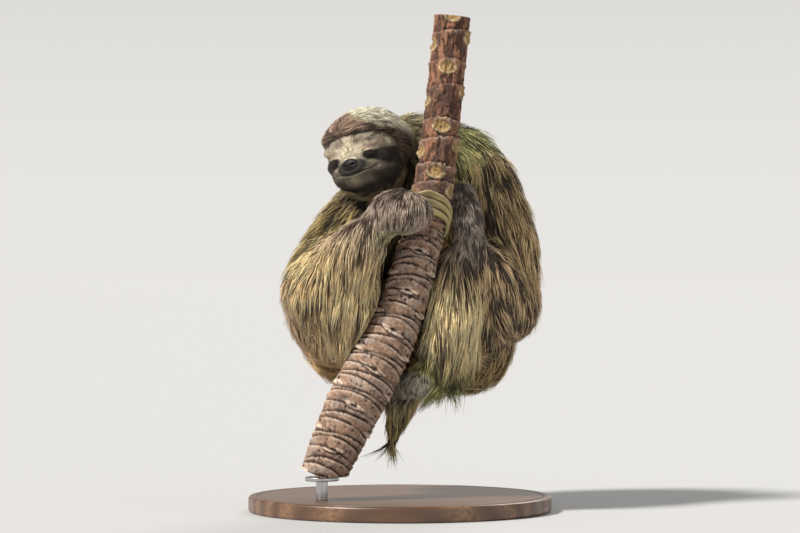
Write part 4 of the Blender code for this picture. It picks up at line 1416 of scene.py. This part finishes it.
CLAW_SIDES, CLAW_RINGS = 28, 56
CLAW_ROOT, CLAW_TIP = 0.0036, 0.0015
CLAW_IN_HAND = 0.008
CLAW_FLAT, CLAW_TALL = 0.84, 1.08  # across and along its back, for each unit of its thickness
GROWTH_STEP, GROWTH_DEPTH = 0.0011, 0.010
HORN_PALE = np.array([0.40, 0.31, 0.11])
HORN_DARK = np.array([0.15, 0.110, 0.045])
HORN_RIDGE_HIGHLIGHT = np.array([0.78, 0.68, 0.42])


def middle_line(obj, stations=14):
    """The middle line of a long curved solid, from its thick end to its thin one."""
    bm = bmesh.new()
    bm.from_mesh(obj.data)
    bmesh.ops.remove_doubles(bm, verts=bm.verts, dist=SAME_POINT)
    bmesh.ops.triangulate(bm, faces=bm.faces)
    for _ in range(2):
        bmesh.ops.subdivide_edges(bm, edges=bm.edges, cuts=1)
        bmesh.ops.triangulate(bm, faces=[face for face in bm.faces if len(face.verts) > 3])
    bm.verts.index_update()
    spots = np.array([vert.co for vert in bm.verts])
    beside = [[edge.other_vert(vert).index for edge in vert.link_edges] for vert in bm.verts]
    bm.free()

    def ways_from(start):
        run = np.full(len(spots), np.inf)
        run[start] = 0
        heap = [(0.0, start)]
        while heap:
            so_far, at_vert = heapq.heappop(heap)
            if so_far > run[at_vert]:
                continue
            for other in beside[at_vert]:
                longer = so_far + float(np.linalg.norm(spots[other] - spots[at_vert]))
                if longer < run[other]:
                    run[other] = longer
                    heapq.heappush(heap, (longer, other))
        return run

    one_end = int(ways_from(0).argmax())
    from_one = ways_from(one_end)
    other_end = int(from_one.argmax())
    from_other = ways_from(other_end)
    thick_first = spots[from_one < 0.008].std(0).sum() > spots[from_other < 0.008].std(0).sum()
    run = from_one if thick_first else from_other
    share = run / run.max() * stations
    line = np.array([spots[np.abs(share - k - 0.5) < 0.7].mean(0) for k in range(stations)])
    for _ in range(3):
        line[1:-1] = 0.5 * line[1:-1] + 0.25 * (line[:-2] + line[2:])
    first = line[0] - (line[1] - line[0]) * 0.5
    last = line[-1] + (line[-1] - line[-2]) * 0.5
    return np.vstack([first, line, last])


horn, tree, shader, tone_here, place = toned_material("claw_horn", 0.34, Specular_IOR_Level=0.5)
grain = noise_of(tree, 900.0, 4.0, place)
tint(tree, shader, tone_here, share_of(tree, grain, 0.3, 0.7, 0.78, 1.2))
tree.links.new(share_of(tree, grain, 0.3, 0.7, 0.26, 0.5), shader.inputs["Roughness"])
add_bump(tree, shader, grain, 0.25, 0.0002)

claw_names = sorted(name for name in nodes if name.startswith("claw_"))
for number, name in enumerate(claw_names):
    line = middle_line(nodes[name])
    low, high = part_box(name[5:-2])
    inward = unit(np.array(low + high) / 2 - line[0]) - 0.5 * unit(line[2] - line[0])
    start = line[0] + unit(inward) * CLAW_IN_HAND
    line = np.vstack([start, line])
    run = np.concatenate([[0], np.cumsum(np.linalg.norm(np.diff(line, axis=0), axis=1))])
    share = np.linspace(0, 1, CLAW_RINGS)
    middles = np.stack([np.interp(share * run[-1], run, line[:, k]) for k in range(3)], 1)
    for _ in range(12):
        middles[1:-1] = 0.5 * middles[1:-1] + 0.25 * (middles[:-2] + middles[2:])
    ahead = unit(np.gradient(middles, axis=0))
    bend = unit(np.linalg.svd(middles - middles.mean(0), full_matrices=False)[2][2:3])
    aside = unit(bend - (ahead * bend).sum(1, keepdims=True) * ahead)
    back = np.cross(aside, ahead)
    if (np.gradient(ahead, axis=0) * back).sum() > 0:
        aside, back = -aside, -back
    size = CLAW_ROOT + (CLAW_TIP - CLAW_ROOT) * smooth_step(0.15, 0.97, share) ** 0.9
    size *= np.sqrt(np.clip((1 - share) / 0.05, 0, 1)) * 0.98 + 0.02
    around = np.linspace(0, 2 * math.pi, CLAW_SIDES, endpoint=False)
    wide, tall = np.cos(around), np.sin(around)
    shape = 1 + 0.10 * ridge(around - math.pi / 2, 0.35) - 0.16 * ridge(around - 1.5 * math.pi, 0.45)
    uneven = layered_noise(np.column_stack([share * 9, share * 0, share * 0 + number]), 501)
    growth = GROWTH_DEPTH * np.sin(share * run[-1] / GROWTH_STEP + 3 * uneven)
    ring = size[:, None] * shape[None] * (1 + growth[:, None])
    points = (
        middles[:, None]
        + aside[:, None] * (ring * wide * CLAW_FLAT)[..., None]
        + back[:, None] * (ring * tall * CLAW_TALL)[..., None]
    ).reshape(-1, 3)
    side = np.arange(CLAW_SIDES)
    beyond = (side + 1) % CLAW_SIDES
    faces = []
    for a in range(0, (CLAW_RINGS - 1) * CLAW_SIDES, CLAW_SIDES):
        b = a + CLAW_SIDES
        faces += np.stack([a + side, a + beyond, b + beyond, b + side], 1).tolist()
    faces += [side[::-1].tolist(), ((CLAW_RINGS - 1) * CLAW_SIDES + side).tolist()]
    claw = new_piece(name + "_horn", points, faces, horn)
    bm = bmesh.new()
    bm.from_mesh(claw.data)
    bmesh.ops.recalc_face_normals(bm, faces=bm.faces)
    bm.to_mesh(claw.data)
    bm.free()
    claw.data.shade_smooth()

    # Streaks along the horn, dark towards the tip and beneath, and a painted highlight along the ridge of its
    # back
    along = np.repeat(share, CLAW_SIDES)
    wide, tall = np.tile(wide, CLAW_RINGS), np.tile(tall, CLAW_RINGS)
    streak = layered_noise(np.column_stack([wide * 2.2, tall * 2.2, along * 3 + number]), 511, 3)
    tone = tinted(HORN_PALE, HORN_DARK, np.clip(0.25 + 1.3 * (streak - 0.5), 0, 1))
    tone = tone * (1 - 0.45 * smooth_step(0.72, 1.0, along))[:, None]
    tone = tone * (0.62 + 0.38 * smooth_step(0.12, 0.34, along))[:, None]
    tone *= (1 - 0.40 * smooth_step(0.0, -0.8, tall))[:, None]
    floor_wear_and_claw_highlight = smooth_step(0.82, 0.98, tall) * (0.45 + 0.55 * smooth_step(0.10, 0.30, along))
    hold_tone(claw.data, tinted(tone, HORN_RIDGE_HIGHLIGHT, 0.75 * floor_wear_and_claw_highlight))
    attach(claw, "root")
    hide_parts(name)


# Eyes: small glossy dark brown glass-like eyeballs, set as deep as the real ones behind the lids. The
# iris is barely lighter than the wide round pupil, and the clear front bulges a little.

EYE_SIDES, EYE_RINGS = 96, 72
EYE_BULGE = 0.030
IRIS_TURN = 0.62
PUPIL_TURN = 0.27
IRIS_BROWN = np.array([0.022, 0.011, 0.006])
PUPIL_BLACK = np.array([0.004, 0.003, 0.003])
WHITE_DARK = np.array([0.040, 0.026, 0.020])

wet_eye, tree, shader, tone_here, place = toned_material("wet_eye", 0.07, Specular_IOR_Level=0.45)
grain = noise_of(tree, 2600.0, 3.0, place)
tint(tree, shader, tone_here, share_of(tree, grain, 0.3, 0.7, 0.7, 1.3))
add_bump(tree, shader, grain, 0.03, 0.00005)

for side, name in ((1, "eye_left"), (-1, "eye_right")):
    low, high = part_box(name)
    middle = np.array(low + high) / 2
    radius = float(high.z - low.z) / 2
    look = head_turn @ (eye_look * [side, -1, 1])
    spin = np.array(Vector(look).to_track_quat("Z", "Y").to_matrix())
    down = np.linspace(0, math.pi, EYE_RINGS + 1)[1:-1]
    around = np.linspace(0, 2 * math.pi, EYE_SIDES, endpoint=False)
    bulge = EYE_BULGE * (1 - smooth_step(0.45, 0.80, down))
    local_points = [[0, 0, 1 + EYE_BULGE]]
    for turn, more in zip(down, bulge):
        wide = math.sin(turn) * (1 + more)
        height = math.cos(turn) * (1 + more)
        local_points += [[wide * math.cos(a), wide * math.sin(a), height] for a in around]
    local_points.append([0, 0, -1])
    local_points = np.array(local_points)
    faces = [(0, 1 + k, 1 + (k + 1) % EYE_SIDES) for k in range(EYE_SIDES)]
    for ring in range(len(down) - 1):
        a, b = 1 + ring * EYE_SIDES, 1 + (ring + 1) * EYE_SIDES
        beyond = [(k + 1) % EYE_SIDES for k in range(EYE_SIDES)]
        faces += [(a + k, b + k, b + beyond[k], a + beyond[k]) for k in range(EYE_SIDES)]
    last = len(local_points) - 1
    a = 1 + (len(down) - 1) * EYE_SIDES
    faces += [(a + (k + 1) % EYE_SIDES, a + k, last) for k in range(EYE_SIDES)]
    ball = new_piece(name + "_ball", middle + (local_points * radius) @ spin.T, faces, wet_eye)
    turn = np.arccos(np.clip(local_points[:, 2] / np.linalg.norm(local_points, axis=1), -1, 1))
    spoke = np.arctan2(local_points[:, 1], local_points[:, 0])
    fibre = layered_noise(np.column_stack([np.cos(spoke) * 9, np.sin(spoke) * 9, turn * 1.5]), 521 + side, 3)
    tone = IRIS_BROWN * (0.6 + 0.9 * fibre)[:, None]
    tone = toward(tone, PUPIL_BLACK, 1 - smooth_step(PUPIL_TURN, PUPIL_TURN + 0.06, turn))
    tone = toward(tone, PUPIL_BLACK * 2, ridge(turn - IRIS_TURN, 0.05))
    white = WHITE_DARK * (0.8 + 0.4 * fibre)[:, None]
    tone = toward(tone, white, smooth_step(IRIS_TURN, IRIS_TURN + 0.06, turn))
    hold_tone(ball.data, tone)
    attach(ball, "root")
    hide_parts(name)
